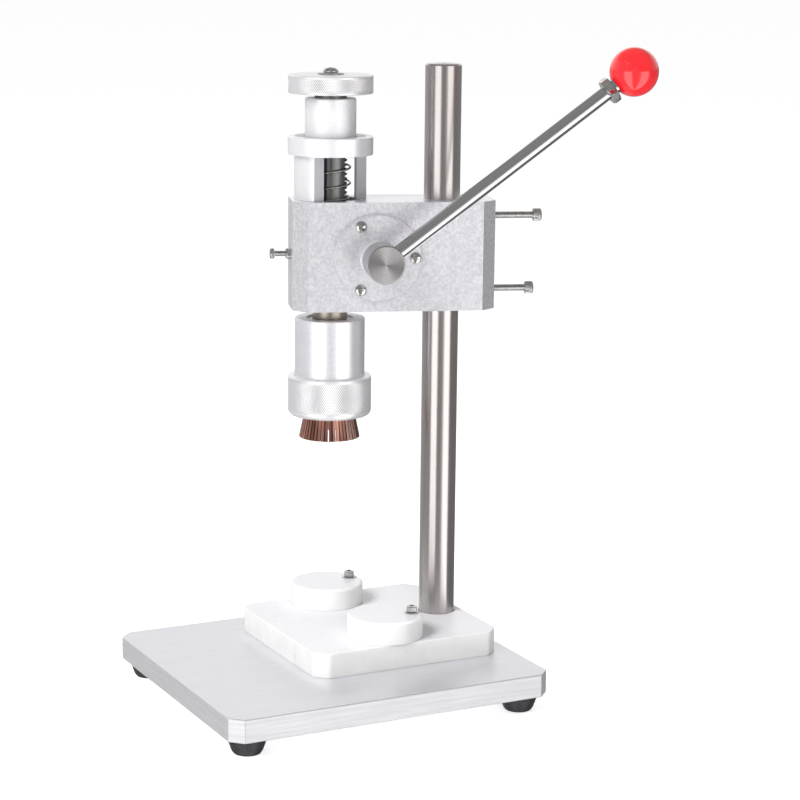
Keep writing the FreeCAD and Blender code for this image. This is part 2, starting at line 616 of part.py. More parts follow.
def make_handle():
    head_node("handle_rod", group(handle_cylinder("rod_rad", "rod_start", "handle_long")))
    nut = along_handle(fresh("Part::Prism", "lock_nut_blank"), "lock_nut_start")
    nut.Polygon = 6
    bind(nut, "Circumradius", "lock_nut_rad")
    bind(nut, "Height", "lock_nut_tall")
    bore = handle_cylinder("rod_rad + 0.02", "lock_nut_start - 1", "lock_nut_start + lock_nut_tall + 1")
    head_node("rod_lock_nut", cut(nut, bore))
    ball = along_handle(fresh("Part::Sphere", "ball_blank"), "handle_long")
    bind(ball, "Radius", "ball_rad")
    ball_bore = handle_cylinder("rod_rad + 0.02", "handle_long - 2 * ball_rad", "handle_long + 1")
    head_node("ball_knob", cut(ball, ball_bore))


# ---- quill ----

def make_quill():
    body = fresh("PartDesign::Body", "quill_bar")
    pad(body, ring_sketch(body, "quill_round", ["quill_rad", "quill_bore"]), "quill_shoulder - quill_low")
    half_gap = "(pi * module_size / 4 + backlash / 2)"
    low, high = tooth_gap("rack_line", half_gap, "rack_root", "(quill_rad + 1)", "flank_angle")
    middle = "(rack_first - quill_low)"
    corners = [("rack_root", f"{middle} - ({low})"), ("quill_rad + 1", f"{middle} - ({high})"),
               ("quill_rad + 1", f"{middle} + ({high})"), ("rack_root", f"{middle} + ({low})")]
    gap = pocket_across(body, outline_sketch(body, "rack_gap", "YZ_Plane", corners), "3 * quill_rad")
    pattern = body.newObject("PartDesign::LinearPattern", "rack")
    pattern.Originals = [gap]
    pattern.Direction = (body.Origin.OriginFeatures[2], [""])
    bind(pattern, "Occurrences", "rack_gaps")
    bind(pattern, "Length", "(rack_gaps - 1) * pi * module_size")
    body.Tip = pattern
    doc.recompute()
    move_to(body, "0", "spindle_y", "quill_low")
    neck = cut(spindle("quill_neck", "quill_shoulder", "quill_top"),
               spindle("quill_bore", "quill_shoulder - 1", "quill_top + 1"))
    rack_low, rack_high = "rack_first - 1.5", "rack_first + (rack_gaps - 1) * pi * module_size + 1.5"
    flat = box(("-quill_rad", "spindle_y + rack_tip", rack_low),
               ("quill_rad", "spindle_y + quill_rad + 1", rack_high))
    slot = box(("-slot_wide / 2", "spindle_y - quill_rad - 1", "slot_low"),
               ("slot_wide / 2", "spindle_y - slot_floor", "slot_high"))
    head_node("quill", cut(fuse(body, neck), flat, slot))


def make_sleeve():
    outer = spindle("sleeve_rad", "sleeve_low", "sleeve_top - sleeve_bevel")
    rim = spindle_cone("sleeve_rad", "sleeve_rad - sleeve_bevel", "sleeve_top - sleeve_bevel", "sleeve_top")
    pocket = spindle("pocket_rad", "sleeve_low - 1", "quill_shoulder")
    bore = spindle("quill_neck + 0.02", "sleeve_low", "sleeve_top + 1")
    tapped = cylinder("m4_rad", "sleeve_rad - quill_neck + 4",
                      ("0", "spindle_y - sleeve_rad - 1", "grub_z"), "Y")
    head_node("quill_sleeve", cut(fuse(outer, rim), pocket, bore, tapped))
    grub = cylinder("m4_rad - thread_gap", "grub_long",
                    ("0", "spindle_y - sleeve_rad + grub_inset", "grub_z"), "Y")
    socket = hexagon("grub_key_rad", "2", ("0", "spindle_y - sleeve_rad + grub_inset - 0.2", "grub_z"), "Y")
    head_node("sleeve_set_screw", cut(grub, socket))


def make_crimp_head():
    body = spindle("head_rad", "head_low", "head_top")
    tools = [spindle("quill_rad + 0.02", "quill_low", "head_top + 1"),
             spindle("head_core", "head_low - 1", "quill_low + 1"),
             spindle("recess_rad", "recess_low", "head_top + 1")]
    head_node("crimp_head_body", cut(body, *tools))
    ring = cut(spindle("recess_rad - 0.1", "recess_low", "recess_low + retainer_thick"),
               spindle("quill_rad + 0.1", "recess_low - 1", "recess_low + 4"))
    head_node("head_retaining_ring", ring)


def make_collet_nut():
    skirt = spindle("nut_rad", "nut_low + nut_round", "nut_top - nut_bevel")
    top_bevel = spindle_cone("nut_rad", "nut_rad - nut_bevel", "nut_top - nut_bevel", "nut_top")
    round_low = fuse(spindle("nut_rad - nut_round", "nut_low", "nut_low + nut_round"),
                     cut(nut_torus(), spindle("nut_rad - nut_round", "nut_low - 1", "nut_top"),
                         spindle("nut_rad + 1", "nut_low + nut_round", "nut_top")))
    tools = [spindle("head_rad + 0.1", "nut_floor", "nut_top + 1"),
             spindle("nut_mouth", "nut_low - 1", "nut_floor + 1")]
    head_node("collet_nut", cut(fuse(skirt, top_bevel, round_low), *tools))


def nut_torus():
    thing = fresh("Part::Torus", "nut_round_edge")
    bind(thing, "Radius1", "nut_rad - nut_round")
    bind(thing, "Radius2", "nut_round")
    move_to(thing, "0", "spindle_y", "nut_low + nut_round")
    return thing


def make_collet():
    body = fresh("PartDesign::Body", "collet_bar")
    neck = "(nut_floor + 0.1 - collet_low)"
    tall = "(collet_top - collet_low)"
    mouth = "(nut_low - collet_low)"
    corners = [("collet_lip - collet_wall", "0"), ("collet_lip", "0"), ("collet_waist", mouth),
               ("collet_waist", neck), ("collet_ring", neck), ("collet_ring", tall),
               ("collet_waist - collet_wall", tall), ("collet_waist - collet_wall", mouth)]
    profile = outline_sketch(body, "collet_profile", "XZ_Plane", corners)
    turned = body.newObject("PartDesign::Revolution", "collet_turning")
    turned.Profile = profile
    turned.ReferenceAxis = (profile, ["V_Axis"])
    turned.Angle = 360
    doc.recompute()
    half = "slit_wide / 2"
    reach = "collet_ring + 5"
    slit = [("5", f"-1 * {half}"), (reach, f"-1 * {half}"), (reach, half), ("5", half)]
    before = body.Shape.Volume
    slot = body.newObject("PartDesign::Pocket", "slit")
    slot.Profile = outline_sketch(body, "slit_outline", "XY_Plane", slit)
    slot.Reversed = True
    bind(slot, "Length", "slit_top - collet_low")
    doc.recompute()
    assert body.Shape.Volume < before - TINY, "the slit cuts nothing"
    pattern = body.newObject("PartDesign::PolarPattern", "fingers")
    pattern.Originals = [slot]
    pattern.Axis = (body.Origin.OriginFeatures[2], [""])
    pattern.Angle = 360
    bind(pattern, "Occurrences", "finger_count")
    body.Tip = pattern
    doc.recompute()
    body.Placement = Placement(Vector(), Rotation(UP, 1))
    bind(body, "Placement.Rotation.Angle", "slit_turn * 1 deg")
    move_to(body, "0", "spindle_y", "collet_low")
    head_node("collet", group(body))


def make_adjuster():
    stem = spindle("stem_rad", "pad_top + 0.5", "knob_top - knob_web")
    tip = spindle("stem_tip_rad", "pad_top - stem_tip_long", "pad_top + 0.5")
    tapped = spindle("m5_rad", "knob_top - knob_screw_deep - 2", "knob_top")
    head_node("adjuster_rod", cut(fuse(stem, tip), tapped))
    pad_body = spindle("pad_rad", "pad_low", "pad_top")
    socket = spindle("stem_tip_rad + slip", "pad_top - stem_tip_long - 1", "pad_top + 1")
    head_node("press_pad", cut(pad_body, socket))
    knob = fuse(spindle_cone("knob_rad - knob_bevel", "knob_rad", "knob_low", "knob_low + knob_bevel"),
                spindle("knob_rad", "knob_low + knob_bevel", "knob_top - knob_bevel"),
                spindle_cone("knob_rad", "knob_rad - knob_bevel", "knob_top - knob_bevel", "knob_top"))
    head_node("adjuster_knob", cut(knob, spindle("stem_rad + 0.03", "knob_low - 1", "knob_top - knob_web"),
                                   spindle("knob_screw_bore", "knob_top - knob_web - 1", "knob_top + 1")))
    seat = "knob_top + knob_washer_thick"
    washer = cut(spindle("knob_washer_rad", "knob_top", seat),
                 spindle("knob_screw_bore", "knob_top - 1", f"{seat} + 1"))
    head_node("knob_washer", washer)
    shank = spindle("m5_rad - m5_thread_gap", "knob_top - knob_screw_deep", seat)
    head = spindle("m5_pan_rad", seat, f"{seat} + m5_pan_rim")
    top = f"{seat} + m5_pan_rim + m5_pan_crown"
    crown = spindle_cone("m5_pan_rad", "m5_crown_rad", f"{seat} + m5_pan_rim", top)
    slots = [box((f"-{w}", f"spindle_y - {t}", f"{seat} + m5_pan_rim + 0.4"),
                 (w, f"spindle_y + {t}", f"{top} + 1"))
             for w, t in (("m5_slot_half", "m5_slot_wide"), ("m5_slot_wide", "m5_slot_half"))]
    head_node("knob_screw", cut(fuse(shank, head, crown), *slots))


def write_steps():
    doc.recompute()
    for thing in doc.Objects:
        if "Invalid" in thing.State or "Error" in thing.State:
            raise RuntimeError(f"{thing.Name} ({thing.Label}) failed: {thing.State}")
    for thing in NODES:
        if thing.Shape.isNull() or not thing.Shape.isValid() or not thing.Shape.Solids:
            raise RuntimeError(f"{thing.Label} has no valid solid")
    os.makedirs("parts", exist_ok=True)
    for thing in NODES:
        thing.Shape.exportStep(f"parts/{thing.Label}.step")
        print(f"{thing.Label}: {len(thing.Shape.Solids)} solid, {thing.Shape.Volume / 1000:.2f} cm3")


make_stand()
make_column()
make_board()
make_block()
make_bushes()
make_cover()
make_housing()
make_spring()
make_clamps()
make_guide()
make_pinion()
make_shaft()
make_handle()
make_quill()
make_sleeve()
make_crimp_head()
make_collet_nut()
make_collet()
make_adjuster()
write_steps()
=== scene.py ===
"""Bench crimping press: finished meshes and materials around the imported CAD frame.

Lengths are metres.  Round pieces are turned about their own local Z axis, so the materials can use
object coordinates: Z runs along the piece and X and Y across it.
"""
import json
import math

import bmesh
import bpy
import numpy as np
from mathutils import Matrix, Quaternion, Vector


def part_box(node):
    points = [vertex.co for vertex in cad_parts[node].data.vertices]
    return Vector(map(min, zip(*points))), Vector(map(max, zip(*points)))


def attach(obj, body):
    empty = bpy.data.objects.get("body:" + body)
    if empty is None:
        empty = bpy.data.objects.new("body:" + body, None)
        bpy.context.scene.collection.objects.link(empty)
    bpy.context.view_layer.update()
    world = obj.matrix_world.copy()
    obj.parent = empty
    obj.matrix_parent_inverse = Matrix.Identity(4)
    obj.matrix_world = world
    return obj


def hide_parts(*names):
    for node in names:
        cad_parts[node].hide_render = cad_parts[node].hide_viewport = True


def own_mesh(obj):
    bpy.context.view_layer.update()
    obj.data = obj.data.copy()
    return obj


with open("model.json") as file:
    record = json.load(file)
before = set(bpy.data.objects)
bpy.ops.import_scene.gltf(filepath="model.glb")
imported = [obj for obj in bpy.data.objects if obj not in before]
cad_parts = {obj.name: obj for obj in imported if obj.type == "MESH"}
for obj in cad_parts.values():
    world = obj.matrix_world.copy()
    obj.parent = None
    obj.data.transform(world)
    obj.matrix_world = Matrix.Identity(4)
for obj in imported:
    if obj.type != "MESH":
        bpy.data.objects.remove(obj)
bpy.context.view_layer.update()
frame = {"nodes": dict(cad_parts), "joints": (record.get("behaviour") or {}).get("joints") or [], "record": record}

MM = 0.001
TURN = 2 * math.pi

JOINTS = {joint["name"]: joint for joint in frame["joints"]}
BODY_OF = {node: body for body, nodes in frame["record"]["behaviour"]["bodies"].items() for node in nodes}
SLOT_OF = {part["node"]: part["material_slot"] for part in frame["record"]["subparts"]}

# ---- local frames

HEAD_X = Vector(JOINTS["handle_turn"]["axis"]).normalized()
HEAD_Y = Vector((0, 0, 1)).cross(HEAD_X)
COLUMN_AT = Vector(JOINTS["column_swivel"]["pos_m"])
COLUMN_AT.z = 0
SPINDLE_AT = Vector(JOINTS["adjuster_turn"]["pos_m"])
SPINDLE_AT.z = 0
HUB_AT = Vector(JOINTS["handle_turn"]["pos_m"])


def axes(x, y, z, at):
    """A matrix whose columns are three directions and a place."""
    matrix = Matrix((x, y, z)).transposed().to_4x4()
    matrix.translation = at
    return matrix


HEAD = axes(HEAD_X, HEAD_Y, Vector((0, 0, 1)), COLUMN_AT)
SPINDLE = axes(HEAD_X, HEAD_Y, Vector((0, 0, 1)), SPINDLE_AT)
HUB = axes(HEAD_Y, Vector((0, 0, 1)), HEAD_X, HUB_AT)


def span(node, matrix=Matrix.Identity(4)):
    """Lowest and highest corner of a CAD node, measured in a local frame."""
    inverse = matrix.inverted()
    points = np.array([inverse @ v.co for v in frame["nodes"][node].data.vertices])
    return Vector(points.min(0)), Vector(points.max(0))


def ball_axis():
    """The handle's own frame: Z runs from the hub's axis to the middle of the ball."""
    low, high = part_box("ball_knob")
    along = ((low + high) / 2 - HUB_AT).normalized()
    return axes(HEAD_X, along.cross(HEAD_X), along, HUB_AT)


HANDLE = ball_axis()
HUB_AT_LOCAL_X = (HEAD.inverted() @ HUB_AT).x
COLUMN_BORE, QUILL_BORE = 12.55 * MM, 15 * MM


def lengthwise(height):
    """A frame on the head's middle plane whose Z axis runs to the rear at this height."""
    return axes(HEAD_X, Vector((0, 0, -1)), HEAD_Y, HEAD @ Vector((0, 0, height)))


# ---- meshes

def to_object(name, bm, matrix=Matrix.Identity(4), smooth_deg=32, weighted=True):
    bmesh.ops.recalc_face_normals(bm, faces=bm.faces)
    mesh = bpy.data.meshes.new(name)
    bm.to_mesh(mesh)
    bm.free()
    obj = bpy.data.objects.new(name, mesh)
    bpy.context.scene.collection.objects.link(obj)
    obj.matrix_world = matrix
    shade(obj, smooth_deg, weighted)
    return obj


def shade(obj, smooth_deg=32, weighted=True):
    mesh = obj.data
    mesh.polygons.foreach_set("use_smooth", [True] * len(mesh.polygons))
    mesh.set_sharp_from_angle(angle=math.radians(smooth_deg))
    if weighted:
        normals = obj.modifiers.new("normals", "WEIGHTED_NORMAL")
        normals.keep_sharp = True


def bake_modifiers(obj):
    """Replace the object's mesh by what its modifiers make of it."""
    graph = bpy.context.evaluated_depsgraph_get()
    mesh = bpy.data.meshes.new_from_object(obj.evaluated_get(graph))
    old = obj.data
    obj.modifiers.clear()
    obj.data = mesh
    bpy.data.meshes.remove(old)


def fillet(points, steps=4):
    """Round a profile: each point is (radius, height, corner radius)."""
    line = []
    count = len(points)
    for i, (r, z, size) in enumerate(points):
        here = Vector((r, z))
        before, after = Vector(points[i - 1][:2]), Vector(points[(i + 1) % count][:2])
        if size <= 0:
            line.append((r, z))
            continue
        a, b = (before - here).normalized(), (after - here).normalized()
        half = a.angle(b) / 2
        reach = min(size / math.tan(half), 0.49 * (before - here).length, 0.49 * (after - here).length)
        centre = here + (a + b).normalized() * (reach / math.cos(half))
        start, end = here + a * reach - centre, here + b * reach - centre
        sweep = start.angle_signed(end)
        for k in range(steps + 1):
            turn = -sweep * k / steps
            c, s = math.cos(turn), math.sin(turn)
            line.append((centre.x + start.x * c - start.y * s, centre.y + start.x * s + start.y * c))
    return line


def circle(radius, z, count):
    return [(radius * math.cos(TURN * i / count), radius * math.sin(TURN * i / count), z) for i in range(count)]


def ring_faces(bm, lower, upper, shift=0):
    """Join two rings of vertices; a ring of one vertex is a pole."""
    count = max(len(lower), len(upper))
    for i in range(count):
        j = (i + 1) % count
        if len(lower) == 1 and len(upper) == 1:
            return
        if len(lower) == 1:
            bm.faces.new((lower[0], upper[j], upper[i]))
        elif len(upper) == 1:
            bm.faces.new((lower[i], lower[j], upper[0]))
        elif shift and (i + shift) % 2:
            bm.faces.new((lower[i], lower[j], upper[i]))
            bm.faces.new((lower[j], upper[j], upper[i]))
        elif shift:
            bm.faces.new((lower[i], lower[j], upper[j]))
            bm.faces.new((lower[i], upper[j], upper[i]))
        else:
            bm.faces.new((lower[i], lower[j], upper[j], upper[i]))


def knurl_grid(radius, low, high, pitch):
    """Teeth round a diamond knurl, and how many rows of half diamonds fit its height."""
    teeth = round(TURN * radius / pitch)
    steep = 1.6
    return teeth, max(2, round((high - low) / (steep * math.pi * radius / teeth) / 2) * 2)


def turned(name, points, matrix, segments=128, knurl=None, closed=False, steps=4, smooth_deg=32):
    """Turn a profile about the local Z axis.

    points go up the outside; closed joins the last to the first, for a ring.  knurl is (low, high,
    pitch, depth): a diamond knurl cut into the straight stretch of the profile between two heights.
    """
    line = fillet(points, steps)
    rows = [(r, z, 0) for r, z in line]
    first = 0
    if knurl:
        low, high, pitch, depth = knurl
        radius = max(r for r, z in line)
        teeth, bands = knurl_grid(radius, low, high, pitch)
        segments = 2 * teeth
        cut = []
        for k in range(bands + 1):
            fade = min(1, k / 1.5, (bands - k) / 1.5)
            cut.append((radius, low + (high - low) * k / bands, depth * fade))
        index = max(i for i, (r, z) in enumerate(line) if z < low and r > radius - 1.5 * MM)
        first = index + 1
        rows = rows[:first] + cut + rows[first:]
        knurl_rows = range(first, first + len(cut))
    bm = bmesh.new()
    rings = []
    for n, (r, z, depth) in enumerate(rows):
        if r < 1e-7:
            rings.append([bm.verts.new((0, 0, z))])
            continue
        ring = []
        for i in range(segments):
            at = r - (depth if (i + n - first) % 2 else 0)
            turn = TURN * i / segments
            ring.append(bm.verts.new((at * math.cos(turn), at * math.sin(turn), z)))
        rings.append(ring)
    for n in range(len(rings) - 1 + closed):
        after = (n + 1) % len(rings)
        in_knurl = knurl and n in knurl_rows and after in knurl_rows
        shift = 2 - (n - first) % 2 if in_knurl else 0
        ring_faces(bm, rings[n], rings[after], shift)
    return to_object(name, bm, matrix, 12 if knurl else smooth_deg)


def tube_profile(outer, inner, low, high, edge=0.3 * MM):
    """A plain ring's profile with rounded edges."""
    return [(outer, low, edge), (outer, high, edge), (inner, high, edge), (inner, low, edge)]


def prism(name, outline, low, high, matrix=Matrix.Identity(4)):
    """Extrude a flat outline between two heights; edges are bevelled later."""
    bm = bmesh.new()
    floor = [bm.verts.new((x, y, low)) for x, y in outline]
    roof = [bm.verts.new((x, y, high)) for x, y in outline]
    bm.faces.new(floor[::-1])
    bm.faces.new(roof)
    ring_faces(bm, floor, roof)
    return to_object(name, bm, matrix, weighted=False)


def cut_corner_outline(low, high, corner, rounding=0.0, steps=5):
    """A rectangle with cut corners, each corner of the cut rounded."""
    x0, y0, x1, y1 = low.x, low.y, high.x, high.y
    points = [(x0 + corner, y0), (x1 - corner, y0), (x1, y0 + corner), (x1, y1 - corner),
              (x1 - corner, y1), (x0 + corner, y1), (x0, y1 - corner), (x0, y0 + corner)]
    if not rounding:
        return points
    return fillet([(x, y, rounding) for x, y in points], steps)


def cutter(radius, low, high, matrix, sides=64):
    bm = bmesh.new()
    bmesh.ops.create_cone(bm, cap_ends=True, segments=sides, radius1=radius, radius2=radius, depth=high - low)
    bmesh.ops.translate(bm, verts=bm.verts, vec=(0, 0, (low + high) / 2))
    return to_object("cutter", bm, matrix, weighted=False)


def through(radius, low, high, matrix, sides=64):
    """A cutter that stands 1 mm out of both faces."""
    return cutter(radius, low.z - 1 * MM, high.z + 1 * MM, matrix, sides)


def block_cutter(size, matrix):
    bm = bmesh.new()
    bmesh.ops.create_cube(bm, size=1)
    bmesh.ops.scale(bm, verts=bm.verts, vec=size)
    return to_object("cutter", bm, matrix, weighted=False)


def carve(obj, tools):
    """Cut tools out of a piece, exactly, and delete them."""
    bpy.context.view_layer.update()
    for tool in tools:
        change = obj.modifiers.new("carve", "BOOLEAN")
        change.operation = "DIFFERENCE"
        change.solver = "EXACT"
        change.object = tool
    normals = [m for m in obj.modifiers if m.type == "WEIGHTED_NORMAL"]
    for m in normals:
        obj.modifiers.remove(m)
    bake_modifiers(obj)
    for tool in tools:
        bpy.data.objects.remove(tool)
    return obj


def soften(obj, width, steps=2, angle=35):
    """Round the sharp edges of a piece and shade it cleanly."""
    edge = obj.modifiers.new("edges", "BEVEL")
    edge.width = width
    edge.segments = steps
    edge.limit_method = "ANGLE"
    edge.angle_limit = math.radians(angle)
    edge.use_clamp_overlap = True
    bake_modifiers(obj)
    shade(obj, 40)
    return obj


def join(name, pieces):
    """Make one object of several, in the first one's frame."""
    bpy.context.view_layer.update()
    base = pieces[0].matrix_world.copy()
    bm = bmesh.new()
    for piece in pieces:
        start = len(bm.verts)
        bm.from_mesh(piece.data)
        bm.verts.ensure_lookup_table()
        shift = base.inverted() @ piece.matrix_world
        bmesh.ops.transform(bm, matrix=shift, verts=bm.verts[start:])
    joined = to_object(name, bm, base)
    for piece in pieces:
        bpy.data.objects.remove(piece)
    return joined


def hex_outline(flat):
    """Six corners of a hexagon, given its size across flats."""
    corner = flat / math.sqrt(3)
    return [(corner * math.cos(TURN * k / 6), corner * math.sin(TURN * k / 6)) for k in range(6)]


def hex_nut(name, flat, bore, low, high, matrix):
    """A hexagon nut whose corners are turned off at 30 degrees on both faces."""
    nut = prism(name, hex_outline(flat), low, high, matrix)
    corner = flat / math.sqrt(3)
    drop = (corner - 0.48 * flat) * math.tan(math.radians(30))
    blank = turned("blank", [(0, low, 0), (0.48 * flat, low, 0), (corner + 0.1 * MM, low + drop, 0),
                             (corner + 0.1 * MM, high - drop, 0), (0.48 * flat, high, 0), (0, high, 0)],
                   matrix, 96)
    bake_modifiers(blank)
    bpy.context.view_layer.update()
    keep = nut.modifiers.new("corners", "BOOLEAN")
    keep.operation = "INTERSECT"
    keep.solver = "EXACT"
    keep.object = blank
    bake_modifiers(nut)
    bpy.data.objects.remove(blank)
    carve(nut, [cutter(bore, low - 1 * MM, high + 1 * MM, matrix)])
    return soften(nut, 0.12 * MM)


def thread_rows(radius, low, high, pitch, depth, segments):
    """Rings of a single-start thread, from low to high."""
    per_turn = 6
    count = max(2, round((high - low) / pitch * per_turn))
    rings = []
    for n in range(count + 1):
        z = low + (high - low) * n / count
        ring = []
        for i in range(segments):
            phase = (n / per_turn - i / segments) % 1
            groove = max(0.0, 1 - abs(phase - 0.5) / 0.38)
            fade = min(1, n / per_turn, (count - n) / per_turn)
            at = radius - depth * groove * fade
            turn = TURN * i / segments
            ring.append((at * math.cos(turn), at * math.sin(turn), z))
        rings.append(ring)
    return rings


def cap_screw(name, matrix, tip, seat, top, shank, head, socket, pitch):
    """A socket head screw: threaded shank from tip to seat, knurled head from seat to top.

    All heights are along the frame's Z axis; top may lie below tip, for a screw that points up.
    """
    sign = 1 if top > tip else -1
    segments = 32
    bm = bmesh.new()
    rings = [[(0, 0, tip)], circle(shank - 0.4 * MM, tip, segments)]
    rings += [[(x, y, tip + sign * z) for x, y, z in ring]
              for ring in thread_rows(shank, 0.4 * MM, abs(seat - tip) - 0.2 * MM, pitch, 0.6 * pitch, segments)]
    rings.append(circle(shank, seat, segments))
    made = [[bm.verts.new(p) for p in ring] for ring in rings]
    for lower, upper in zip(made, made[1:]):
        ring_faces(bm, lower, upper)
    bm.faces.new(made[-1])
    body = to_object(name, bm, matrix)
    teeth = round(TURN * head / (0.75 * MM))
    edge = 0.35 * MM
    tall = abs(top - seat)
    levels = [(0, 0.15 * MM, 0), (0.7 * head, 0.0, 0), (head - 0.2 * MM, 0.0, 0), (head, 0.25 * MM, 0.16 * MM),
              (head, tall - edge - 0.3 * MM, 0.16 * MM), (head - 0.05 * MM, tall - edge - 0.1 * MM, 0),
              (head - edge, tall, 0), (0, tall, 0)]
    bm = bmesh.new()
    rings = []
    for r, z, depth in levels:
        place = seat + sign * z
        if r == 0:
            rings.append([bm.verts.new((0, 0, place))])
            continue
        rings.append([bm.verts.new(((r - depth * (i % 2)) * math.cos(TURN * i / (2 * teeth)),
                                    (r - depth * (i % 2)) * math.sin(TURN * i / (2 * teeth)), place))
                      for i in range(2 * teeth)])
    for lower, upper in zip(rings, rings[1:]):
        ring_faces(bm, lower, upper)
    cap = to_object(name + "_head", bm, matrix, weighted=False)
    deep = 0.55 * tall
    low, high = sorted((top - sign * deep, top + sign * 0.5 * MM))
    carve(cap, [prism("cutter", hex_outline(socket), low, high, matrix)])
    both = join(name, [body, cap])
    shade(both, 25, weighted=False)
    return both


def pan_screw(name, matrix, tip, seat, shank, head, tall, slot):
    """A cross-recessed pan head screw pointing down the frame's Z axis."""
    rise = [(head * math.cos(a), seat + 0.35 * tall + 0.65 * tall * math.sin(a), 0)
            for a in [math.radians(d) for d in (0, 15, 30, 45, 60, 72, 82)]]
    profile = [(0, tip, 0), (shank, tip, 0.2 * MM), (shank, seat, 0), (head - 0.1 * MM, seat, 0),
               (head, seat + 0.15 * tall, 0)] + rise + [(0, seat + tall, 0)]
    screw = turned(name, profile, matrix, 64, smooth_deg=50)
    cross = []
    for turn in (0, math.pi / 2):
        place = matrix @ Matrix.Rotation(turn + math.pi / 4, 4, "Z") @ Matrix.Translation((0, 0, seat + tall))
        cross.append(block_cutter((2 * slot, 0.32 * slot, 1.1 * tall), place))
    carve(screw, cross)
    shade(screw, 40)
    return screw


def wire_coil(name, matrix, radius, wire, low, high, pitch, segments=14):
    """A round-wire spring whose first and last turns lie flat."""
    per_turn = 48
    closed = 0.75
    turns = (high - low - 4.4 * wire) / pitch + 2 * closed
    count = round(turns * per_turn)
    bm = bmesh.new()
    rings = []
    heights = []
    z = low + 1.05 * wire
    for n in range(count + 1):
        turn = n / per_turn
        near = min(turn, turns - turn)
        slope = pitch if near > closed else 0.28 * pitch
        heights.append(z)
        z += slope / per_turn
    stretch = (high - low - 2.1 * wire) / (heights[-1] - heights[0])
    heights = [low + 1.05 * wire + (h - heights[0]) * stretch for h in heights]
    for n in range(count + 1):
        angle = TURN * n / per_turn
        out = Vector((math.cos(angle), math.sin(angle), 0))
        ring = []
        for i in range(segments):
            a = TURN * i / segments
            up = Vector((0, 0, heights[n] + wire * math.sin(a)))
            ring.append(bm.verts.new(out * (radius + wire * math.cos(a)) + up))
        rings.append(ring)
    for lower, upper in zip(rings, rings[1:]):
        ring_faces(bm, lower, upper)
    bm.faces.new(rings[0])
    bm.faces.new(rings[-1])
    return to_object(name, bm, matrix, 50, weighted=False)


# ---- materials

# painted shade: the darker colour given to cut faces and bores
CUT_FACE_SHADE = (0.42, 0.41, 0.44)
BARE_STEEL = (0.46, 0.41, 0.35)
# painted shade along the collet's slits
SLIT_SHADE = (0.05, 0.03, 0.025)
# radius of the housing within which its colour is painted darker as shade
TUBE_WALL_START = 24.4 * MM
KNURL_PITCH, KNURL_DEPTH = 1.4 * MM, 0.2 * MM
# crest colour of the knurls, and the painted shade in their grooves
KNURL_LIGHT, KNURL_GROOVE_SHADE = (0.93, 0.925, 0.94), (0.54, 0.535, 0.55)
FINGERS, SLIT_TURN = 24, -8.6


def shader(name):
    material = bpy.data.materials.new(name)
    material.use_nodes = True
    return material, material.node_tree, material.node_tree.nodes["Principled BSDF"]


def add(tree, kind, **values):
    node = tree.nodes.new(kind)
    for key, value in values.items():
        if key in node.inputs:
            node.inputs[key].default_value = value
        else:
            setattr(node, key, value)
    return node


def feed(tree, node, **values):
    """Give a node's inputs numbers, colours or other outputs; a space in an input's name is written _."""
    for key, value in values.items():
        socket = node.inputs[key.replace("_", " ")]
        if isinstance(value, bpy.types.NodeSocket):
            tree.links.new(value, socket)
        else:
            socket.default_value = (*value, 1) if socket.type == "RGBA" else value


def object_space(tree, scale=(1, 1, 1)):
    coords = add(tree, "ShaderNodeTexCoord")
    mapping = add(tree, "ShaderNodeMapping", Scale=scale)
    feed(tree, mapping, Vector=coords.outputs["Object"])
    return mapping.outputs["Vector"]


def noise(tree, vector, scale, detail=2.0, rough=0.5):
    node = add(tree, "ShaderNodeTexNoise", Scale=scale, Detail=detail, Roughness=rough)
    feed(tree, node, Vector=vector)
    return node.outputs["Fac"]


def ramp(tree, fac, stops):
    node = add(tree, "ShaderNodeValToRGB")
    elements = node.color_ramp.elements
    while len(elements) < len(stops):
        elements.new(0.5)
    for element, (place, colour) in zip(elements, stops):
        element.position = place
        element.color = (*colour, 1)
    feed(tree, node, Fac=fac)
    return node.outputs["Color"]


def tones(tree, fac, dark, light):
    return ramp(tree, fac, [(0.3, dark), (0.7, light)])


def spread(tree, fac, low, high):
    """Map 0.3 to 0.7, where a noise mostly lies, on to a range."""
    node = add(tree, "ShaderNodeMapRange")
    feed(tree, node, Value=fac, From_Min=0.3, From_Max=0.7, To_Min=low, To_Max=high)
    return node.outputs["Result"]


def maths(tree, kind, a, b=None):
    node = add(tree, "ShaderNodeMath", operation=kind)
    for socket, value in zip(node.inputs, (a, b)):
        if value is None:
            continue
        if isinstance(value, (int, float)):
            socket.default_value = value
        else:
            tree.links.new(value, socket)
    return node.outputs[0]


def mix(tree, factor, a, b, kind="RGBA", blend="MIX"):
    node = add(tree, "ShaderNodeMix", data_type=kind, blend_type=blend)
    feed(tree, node, Factor=factor, A=a, B=b)
    return node.outputs["Result"]


def bump(tree, height, strength, distance, before=None):
    node = add(tree, "ShaderNodeBump", Strength=strength, Distance=distance)
    feed(tree, node, Height=height)
    if before is not None:
        feed(tree, node, Normal=before)
    return node.outputs["Normal"]


def parts(tree, vector):
    """The X, Y and Z of a vector."""
    node = add(tree, "ShaderNodeSeparateXYZ")
    feed(tree, node, Vector=vector)
    return node.outputs


def angle_of(tree, at):
    return maths(tree, "ARCTAN2", at["Y"], at["X"])


def radius_of(tree, at):
    """Distance from the local Z axis."""
    return maths(tree, "SQRT", maths(tree, "ADD", maths(tree, "POWER", at["X"], 2),
                                     maths(tree, "POWER", at["Y"], 2)))


